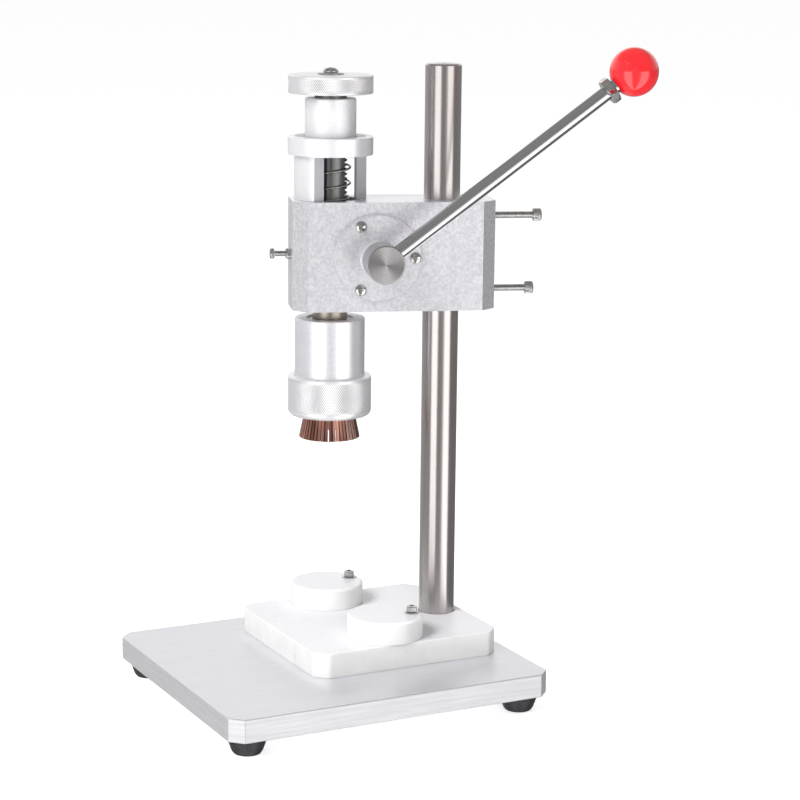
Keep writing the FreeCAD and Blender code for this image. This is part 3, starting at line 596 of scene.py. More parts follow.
def level_face(tree, limit):
    """1 on faces that lie flat and 0 on upright ones."""
    normal = add(tree, "ShaderNodeNewGeometry").outputs["True Normal"]
    return maths(tree, "GREATER_THAN", maths(tree, "ABSOLUTE", parts(tree, normal)["Z"]), limit)


def blend(tree, a, b, share):
    """a and b added in two shares."""
    return maths(tree, "ADD", maths(tree, "MULTIPLY", a, share), maths(tree, "MULTIPLY", b, 1 - share))


def brushed(tree, bsdf, aniso, rotation):
    """Stretch the highlights round the local Z axis, or along it if rotated."""
    tangent = add(tree, "ShaderNodeTangent", direction_type="RADIAL", axis="Z")
    feed(tree, bsdf, Metallic=1.0, Anisotropic=aniso, Anisotropic_Rotation=rotation, Tangent=tangent.outputs[0])


def grey(value):
    return (value, value, value)


def blasted(name, light, dark, rough, grain, strength, metal, shade_core=None):
    """Bead-blasted anodised aluminium: a fine even grain with a faint cloud over it.

    Within a given radius of the local Z axis, on the cut faces and the bore, the colour is painted a little darker
    as shade.
    """
    material, tree, bsdf = shader(name)
    space = object_space(tree)
    fine = noise(tree, space, grain, 3, 0.6)
    cloud = noise(tree, space, 420, 3, 0.6)
    tone = ramp(tree, blend(tree, fine, cloud, 0.5), [(0.38, dark), (0.62, light)])
    if shade_core is not None:
        # painted shade: everything inside the radius, such as the cut window faces and the bore, gets a darker
        # colour
        tone = mix(tree, maths(tree, "LESS_THAN", radius_of(tree, parts(tree, space)), shade_core), tone, CUT_FACE_SHADE)
    feed(tree, bsdf, Base_Color=tone, Roughness=spread(tree, fine, *rough), Metallic=metal)
    if strength:
        feed(tree, bsdf, Normal=bump(tree, fine, strength, 0.1 * MM))
    return material


def knurled(name, radius, knurl):
    """A diamond knurl in aluminium, with painted shade darkening its grooves, in step with the cut teeth."""
    low, high, pitch, _ = knurl
    teeth, bands = knurl_grid(radius, low, high, pitch)
    material, tree, bsdf = shader(name)
    space = object_space(tree)
    at = parts(tree, space)
    row = maths(tree, "MULTIPLY", maths(tree, "SUBTRACT", at["Z"], low), math.pi * bands / (high - low))
    crest = maths(tree, "MULTIPLY", maths(tree, "COSINE", maths(tree, "MULTIPLY", angle_of(tree, at), teeth)),
                  maths(tree, "COSINE", row))
    inside = maths(tree, "MULTIPLY", maths(tree, "GREATER_THAN", at["Z"], low),
                   maths(tree, "LESS_THAN", at["Z"], high))
    # painted shade: the colour darkens towards the grooves between the teeth
    depth = maths(tree, "MULTIPLY", maths(tree, "SUBTRACT", 1.0, crest), maths(tree, "MULTIPLY", inside, 0.5))
    fine = noise(tree, space, 1400, 2)
    tone = maths(tree, "ADD", depth, maths(tree, "MULTIPLY", maths(tree, "SUBTRACT", fine, 0.5), 0.25))
    feed(tree, bsdf, Base_Color=ramp(tree, tone, [(0.35, KNURL_LIGHT), (0.85, KNURL_GROOVE_SHADE)]),
         Roughness=spread(tree, fine, 0.36, 0.46), Metallic=0.75)
    return material


def plate_finish(name):
    """Machined plate: fine lines along its top, and broad soft bands along its duller, less metallic milled sides,
    whose colour is painted darker than the top as shade.
    """
    material, tree, bsdf = shader(name)
    top_lines = noise(tree, object_space(tree, (2600, 60, 60)), 1, 3, 0.6)
    side_lines = noise(tree, object_space(tree, (25, 25, 700)), 1, 3, 0.55)
    fine = noise(tree, object_space(tree), 1500, 2)
    flat = level_face(tree, 0.7)
    top = tones(tree, top_lines, (0.84, 0.835, 0.87), (0.94, 0.935, 0.97))
    # painted shade: the sides get a much darker colour than the top
    side = tones(tree, side_lines, (0.48, 0.48, 0.495), (0.57, 0.57, 0.585))
    first = bump(tree, mix(tree, flat, side_lines, top_lines, "FLOAT"), 0.25, 0.1 * MM)
    feed(tree, bsdf, Base_Color=mix(tree, flat, side, top), Normal=bump(tree, fine, 0.2, 0.08 * MM, first),
         Roughness=spread(tree, fine, 0.36, 0.5), Metallic=spread(tree, flat, 0.5, 0.85))
    return material


def bar_finish(name, light, dark, rough, strength, aniso):
    """Ground and polished bar: long fine lines along the bar."""
    material, tree, bsdf = shader(name)
    lines = noise(tree, object_space(tree, (2400, 2400, 12)), 1, 4, 0.65)
    cloud = noise(tree, object_space(tree, (60, 60, 9)), 1, 2)
    tone = ramp(tree, blend(tree, lines, cloud, 0.65), [(0.33, dark), (0.67, light)])
    feed(tree, bsdf, Base_Color=tone, Roughness=spread(tree, lines, *rough),
         Normal=bump(tree, lines, strength, 0.05 * MM))
    brushed(tree, bsdf, aniso, 0.25)
    return material


def turned_finish(name, light, dark, rough=(0.2, 0.32), strength=0.4, aniso=0.7):
    """Lathe-turned metal: fine tool rings round the local Z axis, on faces and sides alike."""
    material, tree, bsdf = shader(name)
    space = object_space(tree)
    at = parts(tree, space)
    rings = add(tree, "ShaderNodeTexNoise", noise_dimensions="1D", Scale=1 / (0.35 * MM), Detail=2.0)
    feed(tree, rings, W=maths(tree, "ADD", radius_of(tree, at), at["Z"]))
    ridge = rings.outputs["Fac"]
    feed(tree, bsdf, Base_Color=tones(tree, ridge, dark, light),
         Roughness=spread(tree, noise(tree, space, 1800, 2), *rough), Normal=bump(tree, ridge, strength, 0.06 * MM))
    brushed(tree, bsdf, aniso, 0.0)
    return material


def plated(name, light, dark):
    """Bright plated screws, with slight stains and soft wear."""
    material, tree, bsdf = shader(name)
    space = object_space(tree)
    stain = noise(tree, space, 420, 4, 0.6)
    feed(tree, bsdf, Base_Color=tones(tree, stain, dark, light), Roughness=spread(tree, stain, 0.12, 0.24),
         Normal=bump(tree, noise(tree, space, 1600, 2), 0.12, 0.05 * MM), Metallic=1.0)
    return material


def dark_steel(name, light, dark, rough=(0.28, 0.42), bare_below=None):
    """Black-oxide steel with a faint sheen and lengthwise rub marks, bare below a height if one is given."""
    material, tree, bsdf = shader(name)
    rub = noise(tree, object_space(tree, (900, 900, 70)), 1, 3, 0.6)
    tone = tones(tree, rub, dark, light)
    if bare_below is not None:
        height = parts(tree, object_space(tree))["Z"]
        tone = mix(tree, maths(tree, "LESS_THAN", height, bare_below), tone, BARE_STEEL)
    feed(tree, bsdf, Base_Color=tone, Roughness=spread(tree, rub, *rough),
         Normal=bump(tree, rub, 0.15, 0.05 * MM), Metallic=0.9)
    return material


def rubber(name):
    material, tree, bsdf = shader(name)
    space = object_space(tree)
    grain = noise(tree, space, 1100, 3, 0.6)
    tone = ramp(tree, noise(tree, space, 120, 3), [(0.35, (0.010, 0.011, 0.013)), (0.75, (0.030, 0.031, 0.034))])
    feed(tree, bsdf, Base_Color=tone, Roughness=spread(tree, grain, 0.42, 0.62),
         Normal=bump(tree, grain, 0.35, 0.15 * MM))
    return material


def milky(name, top, side):
    """White polymer sheet: planed top, and warmer sawn sides with faint upright marks."""
    material, tree, bsdf = shader(name)
    marks = noise(tree, object_space(tree, (260, 260, 45)), 1, 4, 0.6)
    mottled = noise(tree, object_space(tree), 55, 3, 0.55)
    fine = noise(tree, object_space(tree), 1300, 2)
    side_tone = tones(tree, mottled, tuple(0.93 * c for c in side), side)
    top_tone = tones(tree, mottled, tuple(0.975 * c for c in top), top)
    first = bump(tree, marks, 0.3, 0.15 * MM)
    feed(tree, bsdf, Base_Color=mix(tree, level_face(tree, 0.75), side_tone, top_tone),
         Roughness=spread(tree, marks, 0.26, 0.42), Normal=bump(tree, fine, 0.1, 0.05 * MM, first),
         Subsurface_Weight=0.35, Subsurface_Radius=(1.0, 0.9, 0.8), Subsurface_Scale=2.5 * MM)
    return material


def glossy_red(name):
    material, tree, bsdf = shader(name)
    space = object_space(tree)
    peel = noise(tree, space, 260, 2)
    tone = tones(tree, noise(tree, space, 35, 2), (0.70, 0.012, 0.017), (0.78, 0.015, 0.022))
    feed(tree, bsdf, Base_Color=tone, Roughness=spread(tree, peel, 0.10, 0.16),
         Normal=bump(tree, peel, 0.03, 0.1 * MM), Coat_Weight=0.5, Coat_Roughness=0.05)
    return material


def copper_fingers(name):
    """Turned copper alloy whose fingers differ in tone, each with painted shade as a dark line at its edges beside
    the slits.
    """
    material, tree, bsdf = shader(name)
    angle = angle_of(tree, parts(tree, object_space(tree)))
    phase = math.radians(SLIT_TURN + 180 / FINGERS)
    along = maths(tree, "MULTIPLY", maths(tree, "SUBTRACT", angle, phase), FINGERS / TURN)
    middle = maths(tree, "ABSOLUTE", maths(tree, "SUBTRACT", maths(tree, "FRACT", along), 0.5))
    pick = add(tree, "ShaderNodeTexWhiteNoise", noise_dimensions="1D")
    feed(tree, pick, W=maths(tree, "FLOOR", along))
    tone = ramp(tree, pick.outputs["Value"], [(0.0, (0.34, 0.16, 0.125)), (0.35, (0.70, 0.32, 0.24)),
                                              (0.7, (0.98, 0.52, 0.42)), (1.0, (1.0, 0.78, 0.70))])
    stain = noise(tree, object_space(tree, (350, 350, 90)), 1, 3, 0.6)
    stained = mix(tree, 1.0, tone, tones(tree, stain, grey(0.72), grey(1.0)), blend="MULTIPLY")
    # painted shade: a dark line beside each slit
    feed(tree, bsdf, Base_Color=mix(tree, maths(tree, "LESS_THAN", middle, 0.42), SLIT_SHADE, stained),
         Roughness=spread(tree, stain, 0.25, 0.4), Normal=bump(tree, stain, 0.2, 0.08 * MM), Metallic=1.0)
    return material


FINISHES = {
    "blasted_aluminium": (blasted, (0.93, 0.92, 0.96), (0.69, 0.68, 0.725), (0.28, 0.34), 900, 0.02, 0.78),
    "bright_aluminium": (blasted, (0.90, 0.90, 0.92), (0.86, 0.855, 0.88), (0.36, 0.4), 2000, 0.0, 0.64,
                         TUBE_WALL_START),
    "satin_aluminium": (blasted, (0.90, 0.89, 0.92), (0.80, 0.79, 0.825), (0.36, 0.42), 1600, 0.02, 0.75),
    "plate_aluminium": (plate_finish,),
    "knurled_aluminium": (blasted, (0.88, 0.875, 0.89), (0.79, 0.785, 0.80), (0.4, 0.48), 1600, 0.1, 0.6),
    "stainless": (bar_finish, (0.62, 0.585, 0.565), (0.48, 0.45, 0.44), (0.26, 0.32), 0.1, 0.85),
    "polished_rod": (bar_finish, (0.62, 0.61, 0.62), (0.52, 0.51, 0.52), (0.14, 0.2), 0.05, 0.6),
    "turned_steel": (turned_finish, (0.54, 0.52, 0.52), (0.41, 0.40, 0.40), (0.24, 0.32), 0.05, 0.95),
    "nickel": (plated, (0.66, 0.65, 0.64), (0.46, 0.45, 0.44)),
    "black_steel": (dark_steel, grey(0.21), grey(0.13)),
    "quill_steel": (dark_steel, grey(0.21), grey(0.13), (0.28, 0.42), 290 * MM),
    "gear_steel": (turned_finish, grey(0.5), grey(0.35), (0.25, 0.4)),
    "spring_steel": (dark_steel, grey(0.42), grey(0.26), (0.2, 0.3)),
    "black_rubber": (rubber,),
    "white_polymer": (milky, (0.79, 0.785, 0.81), (0.84, 0.835, 0.83)),
    "red_ball": (glossy_red,),
    "copper": (copper_fingers,),
    "brass": (turned_finish, (0.72, 0.52, 0.24), (0.55, 0.38, 0.16)),
    "nylon": (milky, (0.86, 0.85, 0.80), (0.84, 0.83, 0.78)),
}
MATERIALS = {name: make(name, *values) for name, (make, *values) in FINISHES.items()}


# ---- placing pieces

def place(obj, node, finish=None):
    """Give a piece its node's body and finish, and hide the node that it stands in for."""
    slot = SLOT_OF[node]
    obj.data.materials.clear()
    obj.data.materials.append(MATERIALS[finish or slot])
    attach(obj, BODY_OF[node])
    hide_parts(node)
    return obj


def name_of(node):
    return node + "_model"


def place_ring(node, matrix, bore, edge=0.3 * MM, sides=96, finish=None):
    """Make and place a node that is a plain ring."""
    low, high = span(node, matrix)
    ring = turned(name_of(node), tube_profile(high.x, bore, low.z, high.z, edge), matrix, sides, closed=True)
    place(ring, node, finish)


# ---- stand

def four(node, matrix=Matrix.Identity(4)):
    """Centres of a node's four round pieces, one in each corner, and their radius."""
    low, high = span(node, matrix)
    points = np.array([v.co for v in frame["nodes"][node].data.vertices])
    corner = points[(points[:, 0] < (low.x + high.x) / 2) & (points[:, 1] < (low.y + high.y) / 2)]
    radius = (corner[:, 0].max() - corner[:, 0].min()) / 2
    return [(x, y) for x in (low.x + radius, high.x - radius) for y in (low.y + radius, high.y - radius)], radius


def make_base_plate():
    low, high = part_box("base_plate")
    plate = prism(name_of("base_plate"), cut_corner_outline(low, high, 8.5 * MM), low.z, high.z)
    socket_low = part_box("column")[0].z
    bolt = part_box("column_bolt_washer")
    at_column = Matrix.Translation(COLUMN_AT)
    tools = [cutter(COLUMN_BORE, socket_low, high.z + 1 * MM, at_column, 96),
             cutter(9 * MM, low.z - 1 * MM, bolt[1].z, at_column),
             cutter(4.3 * MM, low.z - 1 * MM, high.z, at_column)]
    for x, y in four("board_screws")[0]:
        tools.append(cutter(4.6 * MM, low.z - 1 * MM, low.z + 6 * MM, Matrix.Translation((x, y, 0))))
    carve(plate, tools)
    soften(plate, 0.7 * MM, 3)
    place(plate, "base_plate")


def make_feet():
    low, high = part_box("rubber_feet")
    centres, radius = four("rubber_feet")
    floor = 10 * MM
    feet = []
    for x, y in centres:
        profile = [(5.2 * MM, 4 * MM, 0.3 * MM), (5.2 * MM, low.z, 0.6 * MM), (floor - 1.2 * MM, low.z, 1.2 * MM),
                   (floor + 0.35 * MM, 2.2 * MM, 2.5 * MM), (radius, high.z - 1.2 * MM, 0.8 * MM),
                   (radius, high.z, 0.4 * MM), (2.6 * MM, high.z, 0.2 * MM), (2.6 * MM, 4 * MM, 0)]
        feet.append(turned("foot", profile, Matrix.Translation((x, y, 0)), 72, closed=True, smooth_deg=50))
    place(join(name_of("rubber_feet"), feet), "rubber_feet")


def make_board():
    low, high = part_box("work_board")
    outline = cut_corner_outline(low, high, 8.5 * MM, 5 * MM)
    board = prism(name_of("work_board"), outline, low.z, high.z)
    tools = [through(12.8 * MM, low, high, Matrix.Translation(COLUMN_AT), 96)]
    for side in ("left", "right"):
        at = Vector(JOINTS[f"{side}_disc_turn"]["pos_m"])
        tools.append(cutter(2 * MM, high.z - 13 * MM, high.z + 1 * MM, Matrix.Translation((at.x, at.y, 0)), 32))
    carve(board, tools)
    soften(board, 0.9 * MM, 3)
    place(board, "work_board")


def make_discs():
    for side in ("left", "right"):
        node = f"{side}_locator_disc"
        low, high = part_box(node)
        middle = (low + high) / 2
        radius = (high.x - low.x) / 2
        frame_at = Matrix.Translation((middle.x, middle.y, 0))
        pivot = Vector(JOINTS[f"{side}_disc_turn"]["pos_m"])
        profile = [(0, low.z, 0), (radius, low.z, 0.5 * MM), (radius, high.z - 1.2 * MM, 0.8 * MM),
                   (radius - 1.3 * MM, high.z, 0.8 * MM), (0, high.z, 0)]
        disc = turned(name_of(node), profile, frame_at, 160)
        pivot_at = Matrix.Translation((pivot.x, pivot.y, 0))
        carve(disc, [through(2.15 * MM, low, high, pivot_at, 32)])
        shade(disc)
        place(disc, node)

        washer = f"{side}_locator_washer"
        low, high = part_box(washer)
        ring = turned(name_of(washer), tube_profile((high.x - low.x) / 2, 2.2 * MM, low.z, high.z, 0.2 * MM),
                      pivot_at, 64, closed=True)
        place(ring, washer)
        screw = f"{side}_locator_screw"
        low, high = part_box(screw)
        made = cap_screw(name_of(screw), pivot_at, low.z, high.z - 4 * MM, high.z, 1.98 * MM,
                         (high.x - low.x) / 2, 3 * MM, 0.7 * MM)
        place(made, screw)


def make_column():
    low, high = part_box("column")
    radius = (high.x - low.x) / 2
    at = Matrix.Translation(COLUMN_AT)
    profile = [(0, low.z + 24 * MM, 0), (4 * MM, low.z + 24 * MM, 0), (4 * MM, low.z, 0.4 * MM),
               (radius, low.z, 0.5 * MM), (radius, high.z - 1 * MM, 0.4 * MM),
               (radius - 1 * MM, high.z, 0.4 * MM), (0, high.z, 0)]
    place(turned(name_of("column"), profile, at, 192), "column")


# ---- head

def make_head_block():
    low, high = span("head_block", HEAD)
    block = prism(name_of("head_block"), cut_corner_outline(low, high, 10 * MM), low.z, high.z, HEAD)
    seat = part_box("spring_housing")[0].z
    tools = [through(COLUMN_BORE, low, high, HEAD, 96),
             through(QUILL_BORE, low, high, SPINDLE, 96),
             cutter(21 * MM, seat, high.z + 1 * MM, SPINDLE, 96),
             cutter(21.5 * MM, -64.5 * MM, -29 * MM, HUB, 96),
             cutter(10 * MM, -82 * MM, -60 * MM, HUB)]
    for which in ("upper", "lower"):
        joint = JOINTS[f"{which}_clamp_turn"]["pos_m"]
        tools.append(cutter(2.55 * MM, 5 * MM, high.y + 1 * MM, lengthwise(joint[2]), 32))
    tools.append(cutter(2.05 * MM, low.y - 1 * MM, -80 * MM, lengthwise(HUB_AT.z), 32))
    carve(block, tools)
    soften(block, 0.55 * MM, 3)
    place(block, "head_block")


def make_cover():
    low, high = span("shaft_cover", HUB)
    face = span("head_block", HEAD)[1].x - HUB_AT_LOCAL_X
    thick = 5 * MM
    profile = [(high.y, face, 0.2 * MM), (high.y, face + thick - 1 * MM, 0.2 * MM),
               (high.y - 1 * MM, face + thick, 0.2 * MM), (12.5 * MM, face + thick, 0.4 * MM),
               (12.5 * MM, high.z - 0.9 * MM, 0.3 * MM), (11.6 * MM, high.z, 0.3 * MM), (9 * MM, high.z, 0.3 * MM),
               (9 * MM, low.z, 0.3 * MM), (21.4 * MM, low.z, 0.4 * MM), (21.4 * MM, face, 0)]
    cover = turned(name_of("shaft_cover"), profile, HUB, 160, closed=True)
    centres = cover_screw_places()
    carve(cover, [cutter(2.1 * MM, low.z, high.z, HUB @ Matrix.Translation(c), 24) for c in centres])
    shade(cover)
    place(cover, "shaft_cover")
    seat = face + thick
    tip = span("cover_screws", HUB)[0].z
    screws = [pan_screw("screw", HUB @ Matrix.Translation(c) @ Matrix.Rotation(0.5 + n, 4, "Z"),
                        tip, seat, 1.98 * MM, 4 * MM, 2.6 * MM, 1.9 * MM) for n, c in enumerate(centres)]
    place(join(name_of("cover_screws"), screws), "cover_screws")


def cover_screw_places():
    ring = 25 * MM
    return [Vector((ring * math.cos(TURN * k / 3), ring * math.sin(TURN * k / 3), 0)) for k in range(3)]


def make_housing():
    low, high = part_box("spring_housing")
    block_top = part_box("head_block")[1].z
    tube, bore, ring = 24.8 * MM, 18.3 * MM, (high.x - low.x) / 2
    ring_low = high.z - 12.5 * MM
    profile = [(20.9 * MM, low.z, 0.3 * MM), (20.9 * MM, block_top, 0), (tube, block_top, 0.4 * MM),
               (tube, ring_low, 0.5 * MM), (ring, ring_low, 0.7 * MM), (ring, high.z, 0.7 * MM),
               (bore, high.z, 0.6 * MM), (bore, low.z, 0.3 * MM)]
    housing = turned(name_of("spring_housing"), profile, SPINDLE, 160, closed=True)
    tools = []
    for sign in (-1, 1):
        turn = math.radians(90 + sign * 65)
        place_at = (SPINDLE @ Matrix.Rotation(turn, 4, "Z")
                    @ Matrix.Translation((12.8 * MM + 15 * MM, 0, (block_top + ring_low) / 2)))
        tools.append(block_cutter((30 * MM, 80 * MM, ring_low - block_top), place_at))
    carve(housing, tools)
    soften(housing, 0.25 * MM, 2, 50)
    place(housing, "spring_housing", "bright_aluminium")

    low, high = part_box("spring_seat_washer")
    washer = turned(name_of("spring_seat_washer"), tube_profile((high.x - low.x) / 2, 12.3 * MM, low.z, high.z),
                    SPINDLE, 96, closed=True)
    place(washer, "spring_seat_washer")


SPRING_TURN, SPRING_PITCH, SPRING_WIRE = 3.4, 11.3 * MM, 0.75 * MM


def make_spring():
    low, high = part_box("return_spring")
    coil = wire_coil(name_of("return_spring"), SPINDLE @ Matrix.Rotation(SPRING_TURN, 4, "Z"),
                     (high.x - low.x) / 2 - SPRING_WIRE, SPRING_WIRE, low.z, high.z, SPRING_PITCH)
    place(coil, "return_spring")
    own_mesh(coil)


def make_clamps():
    for which in ("upper", "lower"):
        node = f"{which}_clamp_screw"
        matrix = lengthwise(JOINTS[f"{which}_clamp_turn"]["pos_m"][2])
        low, high = span(node, matrix)
        screw = cap_screw(name_of(node), matrix, low.z, high.z - 5.5 * MM, high.z, 2.45 * MM, high.x,
                          4 * MM, 0.8 * MM)
        place(screw, node)
    matrix = lengthwise(HUB_AT.z)
    low, high = span("guide_screw", matrix)
    screw = cap_screw(name_of("guide_screw"), matrix, high.z, low.z + 2.8 * MM, low.z, 1.98 * MM, high.x,
                      3 * MM, 0.7 * MM)
    place(screw, "guide_screw")
    low, high = span("guide_lock_nut", matrix)
    place(hex_nut(name_of("guide_lock_nut"), 7 * MM, 2.05 * MM, low.z, high.z, matrix), "guide_lock_nut")


# ---- drive

def make_shaft():
    low, high = span("pinion_shaft", HUB)
    hub_low = 40.4 * MM - HUB_AT_LOCAL_X
    shaft, hub = 7 * MM, 13 * MM
    groove = (-26.4 * MM - HUB_AT_LOCAL_X, -25.2 * MM - HUB_AT_LOCAL_X)
    profile = [(0, low.z, 0), (shaft, low.z, 0.6 * MM), (shaft, groove[0], 0), (6.3 * MM, groove[0], 0),
               (6.3 * MM, groove[1], 0), (shaft, groove[1], 0), (shaft, hub_low, 0.3 * MM),
               (hub, hub_low, 0.5 * MM), (hub, high.z, 0.8 * MM), (0, high.z, 0)]
    made = turned(name_of("pinion_shaft"), profile, HUB, 144)
    carve(made, [cutter(5.03 * MM, 2 * MM, 20 * MM, HANDLE, 48)])
    soften(made, 0.2 * MM, 2, 50)
    place(made, "pinion_shaft")


def make_handle():
    low, high = span("handle_rod", HANDLE)
    rod = 5 * MM
    profile = [(0, low.z, 0), (rod, low.z, 0.5 * MM), (rod, 60 * MM, 0), (rod, high.z, 0.5 * MM), (0, high.z, 0)]
    place(turned(name_of("handle_rod"), profile, HANDLE, 96), "handle_rod", "polished_rod")
    low, high = span("rod_lock_nut", HANDLE)
    place(hex_nut(name_of("rod_lock_nut"), 17 * MM, 5.03 * MM, low.z, high.z, HANDLE), "rod_lock_nut")

    centre = (HANDLE.inverted() @ ((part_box("ball_knob")[0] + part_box("ball_knob")[1]) / 2)).z
    radius = (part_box("ball_knob")[1].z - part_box("ball_knob")[0].z) / 2
    bore = 5.05 * MM
    start = math.asin(6 * MM / radius)
    arc = [(radius * math.sin(a), centre - radius * math.cos(a), 0) for a in np.linspace(start, math.pi, 49)]
    arc[-1] = (0, centre + radius, 0)
    profile = [(0, centre, 0), (bore, centre, 0), (bore, arc[0][1], 0.4 * MM)] + arc
    ball = turned(name_of("ball_knob"), profile, HANDLE, 128, smooth_deg=50)
    ball.data.transform(ball.matrix_world)
    ball.matrix_world = Matrix.Identity(4)
    place(ball, "ball_knob")


# ---- spindle

def make_sleeve():
    low, high = span("quill_sleeve", SPINDLE)
    outer = high.x
    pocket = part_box("return_spring")[1].z + 0.1 * MM
    profile = [(outer, low.z, 0.4 * MM), (outer, high.z - 0.7 * MM, 0.0), (outer - 0.7 * MM, high.z, 0.2 * MM),
               (11.02 * MM, high.z, 0.4 * MM), (11.02 * MM, pocket, 0), (15.4 * MM, pocket, 0.3 * MM),
               (15.4 * MM, low.z, 0.3 * MM)]
    sleeve = turned(name_of("quill_sleeve"), profile, SPINDLE, closed=True,
                    knurl=(low.z + 1.5 * MM, high.z - 0.9 * MM, 0.9 * MM, 0.06 * MM))
    place(sleeve, "quill_sleeve")


def make_crimp_head():
    low, high = span("crimp_head_body", SPINDLE)
    ring_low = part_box("head_retaining_ring")[0].z
    quill_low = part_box("quill")[0].z
    profile = [(high.x, low.z, 0.4 * MM), (high.x, high.z, 0.7 * MM), (16 * MM, high.z, 0.4 * MM),
               (16 * MM, ring_low, 0), (12.02 * MM, ring_low, 0), (12.02 * MM, quill_low, 0),
               (9 * MM, quill_low, 0.2 * MM), (9 * MM, low.z, 0.4 * MM)]
    body = turned(name_of("crimp_head_body"), profile, SPINDLE, 160, closed=True)
    place(body, "crimp_head_body", "satin_aluminium")
    place_ring("head_retaining_ring", SPINDLE, 12.1 * MM, 0.5 * MM, 128, "satin_aluminium")


def make_collet_nut():
    low, high = span("collet_nut", SPINDLE)
    outer = high.x
    floor = low.z + 7.5 * MM
    profile = [(18.6 * MM, low.z, 0.4 * MM), (outer, low.z, 4 * MM), (outer, high.z - 1.2 * MM, 0),
               (outer - 0.3 * MM, high.z - 1.0 * MM, 0), (outer - 0.3 * MM, high.z - 0.4 * MM, 0.1 * MM),
               (outer - 0.7 * MM, high.z, 0.1 * MM), (24.35 * MM, high.z, 0.5 * MM),
               (24.35 * MM, floor, 0.2 * MM), (18.6 * MM, floor, 0.2 * MM)]
    knurl = (low.z + 4.1 * MM, high.z - 1.3 * MM, KNURL_PITCH, KNURL_DEPTH)
    nut = turned(name_of("collet_nut"), profile, SPINDLE, closed=True, steps=8, knurl=knurl)
    MATERIALS["knurled_nut"] = knurled("knurled_nut", outer, knurl)
    place(nut, "collet_nut", "knurled_nut")


def make_collet():
    low, high = span("collet", SPINDLE)
    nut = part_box("collet_nut")[0].z
    waist, lip, wall, ring = 17.9 * MM, 21.25 * MM, 2.6 * MM, 23.8 * MM
    neck = nut + 7.6 * MM
    profile = [(lip - wall, low.z, 0.3 * MM), (lip, low.z, 0.3 * MM), (waist, nut, 0), (waist, neck, 0.3 * MM),
               (ring, neck, 0.4 * MM), (ring, high.z, 0.4 * MM), (waist - wall, high.z, 0.4 * MM),
               (waist - wall, nut, 0)]
    collet = turned(name_of("collet"), profile, SPINDLE, 192, closed=True)
    slit, top = 0.8 * MM, nut + 3.5 * MM
    tools = []
    for k in range(FINGERS):
        turn = math.radians(SLIT_TURN) + TURN * k / FINGERS
        at = SPINDLE @ Matrix.Rotation(turn, 4, "Z") @ Matrix.Translation((18 * MM, 0, (low.z - 2 * MM + top) / 2))
        tools.append(block_cutter((24 * MM, slit, top - low.z + 2 * MM), at))
    carve(collet, [join("cutter", tools)])
    soften(collet, 0.14 * MM, 1, 50)
    place(collet, "collet")


def make_knob():
    low, high = span("adjuster_knob", SPINDLE)
    outer = high.x
    profile = [(outer, low.z, 0.9 * MM), (outer, high.z, 0.9 * MM), (5.98 * MM, high.z, 0.3 * MM),
               (5.98 * MM, low.z, 0.3 * MM)]
    knurl = (low.z + 1.0 * MM, high.z - 1.0 * MM, KNURL_PITCH, KNURL_DEPTH)
    knob = turned(name_of("adjuster_knob"), profile, SPINDLE, closed=True, knurl=knurl)
    MATERIALS["knurled_knob"] = knurled("knurled_knob", outer, knurl)
    place(knob, "adjuster_knob", "knurled_knob")
    place_ring("knob_washer", SPINDLE, 2.7 * MM, 0.35 * MM)
    seat = span("knob_washer", SPINDLE)[1].z
    low, high = span("knob_screw", SPINDLE)
    place(pan_screw(name_of("knob_screw"), SPINDLE @ Matrix.Rotation(0.35, 4, "Z"), low.z, seat, 2.45 * MM,
                    high.x, high.z - seat, 2.6 * MM), "knob_screw")


# ---- camera, light and floor

VIEW_AZIMUTH = 62.9


def make_camera():
    """A long lens a little above the head, from the operator's right."""
    azimuth, elevation, roll = math.radians(VIEW_AZIMUTH), math.radians(11.38), math.radians(0.6)
    aim = Vector((17.7, 43.5, 206.9)) * MM
    distance = 1578.4 * MM
    back = Vector((math.sin(azimuth) * math.cos(elevation), -math.cos(azimuth) * math.cos(elevation),
                   math.sin(elevation)))
    lens = bpy.data.cameras.new("camera")
    lens.lens = 104.2
    lens.sensor_width = 36
    lens.clip_start, lens.clip_end = 0.05, 50
    camera = bpy.data.objects.new("camera", lens)
    bpy.context.scene.collection.objects.link(camera)
    camera.rotation_mode = "QUATERNION"
    camera.location = aim + back * distance
    camera.rotation_quaternion = (-back).to_track_quat("-Z", "Y") @ Quaternion((0, 0, 1), roll)
    bpy.context.scene.camera = camera


def area_light(name, at, power):
    """A square soft light aimed at the press, which the metal does not mirror."""
    light = bpy.data.lights.new(name, "AREA")
    light.shape = "RECTANGLE"
    light.size = light.size_y = 0.9
    light.energy = power
    obj = bpy.data.objects.new(name, light)
    bpy.context.scene.collection.objects.link(obj)
    obj.location = at
    obj.rotation_mode = "QUATERNION"
    obj.rotation_quaternion = (Vector((0, 0, 0.22)) - Vector(at)).to_track_quat("-Z", "Y")
    obj.visible_glossy = False


def make_light():
    area_light("key", (0.655, -1.552, 1.63), 52)
    area_light("fill", (1.84, -0.635, 0.75), 9)


WALLS = [(-180, 0.5), (-135, 0.45), (-110, 0.38), (-80, 0.42), (-57, 0.40), (-50, 2.5), (-17, 2.5), (-12, 0.38),
         (12, 0.38), (24, 0.8), (32, 2.5), (65, 2.5), (70, 0.34), (90, 0.22), (150, 0.18), (180, 0.3)]
SKY = [(-180, 1.2), (-130, 1.0), (-90, 0.6), (-60, 0.35), (60, 0.30), (90, 0.4), (130, 0.9), (180, 1.2)]
CEILING = 0.35


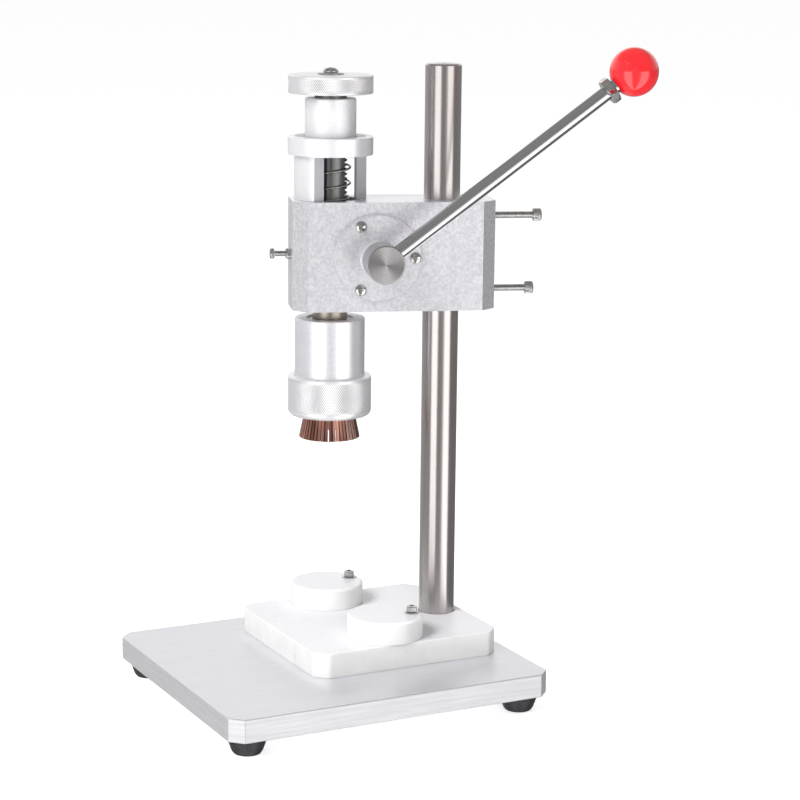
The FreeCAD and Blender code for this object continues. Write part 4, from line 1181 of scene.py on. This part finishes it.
def make_world():
    """White backdrop for the camera; the metal mirrors a studio of two tall soft panels and dark gaps.

    WALLS is what lies level with the press and SKY what lies above it: (degrees to the right of the
    camera, brightness).
    """
    world = bpy.data.worlds.new("studio")
    bpy.context.scene.world = world
    world.use_nodes = True
    tree = world.node_tree
    tree.nodes.clear()
    at = parts(tree, add(tree, "ShaderNodeTexCoord").outputs["Generated"])
    start = math.radians(90 - VIEW_AZIMUTH + 180)
    turn = maths(tree, "FRACT", maths(tree, "MULTIPLY", maths(tree, "ADD", angle_of(tree, at), start + TURN),
                                      1 / TURN))
    level, sky = (ramp(tree, turn, [((place + 180) / 360, grey(bright / 2)) for place, bright in stops])
                  for stops in (WALLS, SKY))
    for low, high, over in ((0.0, 0.12, sky), (0.38, 0.65, grey(CEILING / 2))):
        height = add(tree, "ShaderNodeMapRange", interpolation_type="SMOOTHSTEP")
        feed(tree, height, Value=at["Z"], From_Min=low, From_Max=high)
        level = mix(tree, height.outputs["Result"], level, over)
    room = add(tree, "ShaderNodeBackground", Strength=2.0)
    feed(tree, room, Color=level)
    plain = add(tree, "ShaderNodeBackground", Strength=1.0)
    feed(tree, plain, Color=(1, 1, 1))
    both = add(tree, "ShaderNodeMixShader")
    for socket, source in zip(both.inputs, (add(tree, "ShaderNodeLightPath").outputs["Is Camera Ray"],
                                            room.outputs[0], plain.outputs[0])):
        tree.links.new(source, socket)
    feed(tree, add(tree, "ShaderNodeOutputWorld"), Surface=both.outputs[0])


def make_floor():
    """A wide pale floor, bright enough to run into the backdrop; the metal mirrors the studio instead."""
    bm = bmesh.new()
    bmesh.ops.create_circle(bm, cap_ends=True, segments=96, radius=40)
    floor = to_object("floor", bm, Matrix.Translation((0, 0, -0.05 * MM)), weighted=False)
    floor.visible_glossy = False
    material, tree, bsdf = shader("pale_floor")
    feed(tree, bsdf, Base_Color=(0.85, 0.85, 0.86), Roughness=0.8, Specular_IOR_Level=0.0,
         Emission_Color=(1, 1, 1), Emission_Strength=0.62)
    floor.data.materials.append(material)


# ---- build

bpy.context.scene.view_settings.view_transform = "Standard"
make_camera()
make_light()
make_world()
make_floor()

for node_name, cad_object in frame["nodes"].items():
    cad_object.data.materials.clear()
    cad_object.data.materials.append(MATERIALS["quill_steel" if node_name == "quill" else SLOT_OF[node_name]])

for make in (make_base_plate, make_feet, make_board, make_discs, make_column, make_head_block, make_cover,
             make_housing, make_spring, make_clamps, make_shaft, make_handle, make_sleeve, make_crimp_head,
             make_collet_nut, make_collet, make_knob):
    make()

bpy.context.view_layer.update()
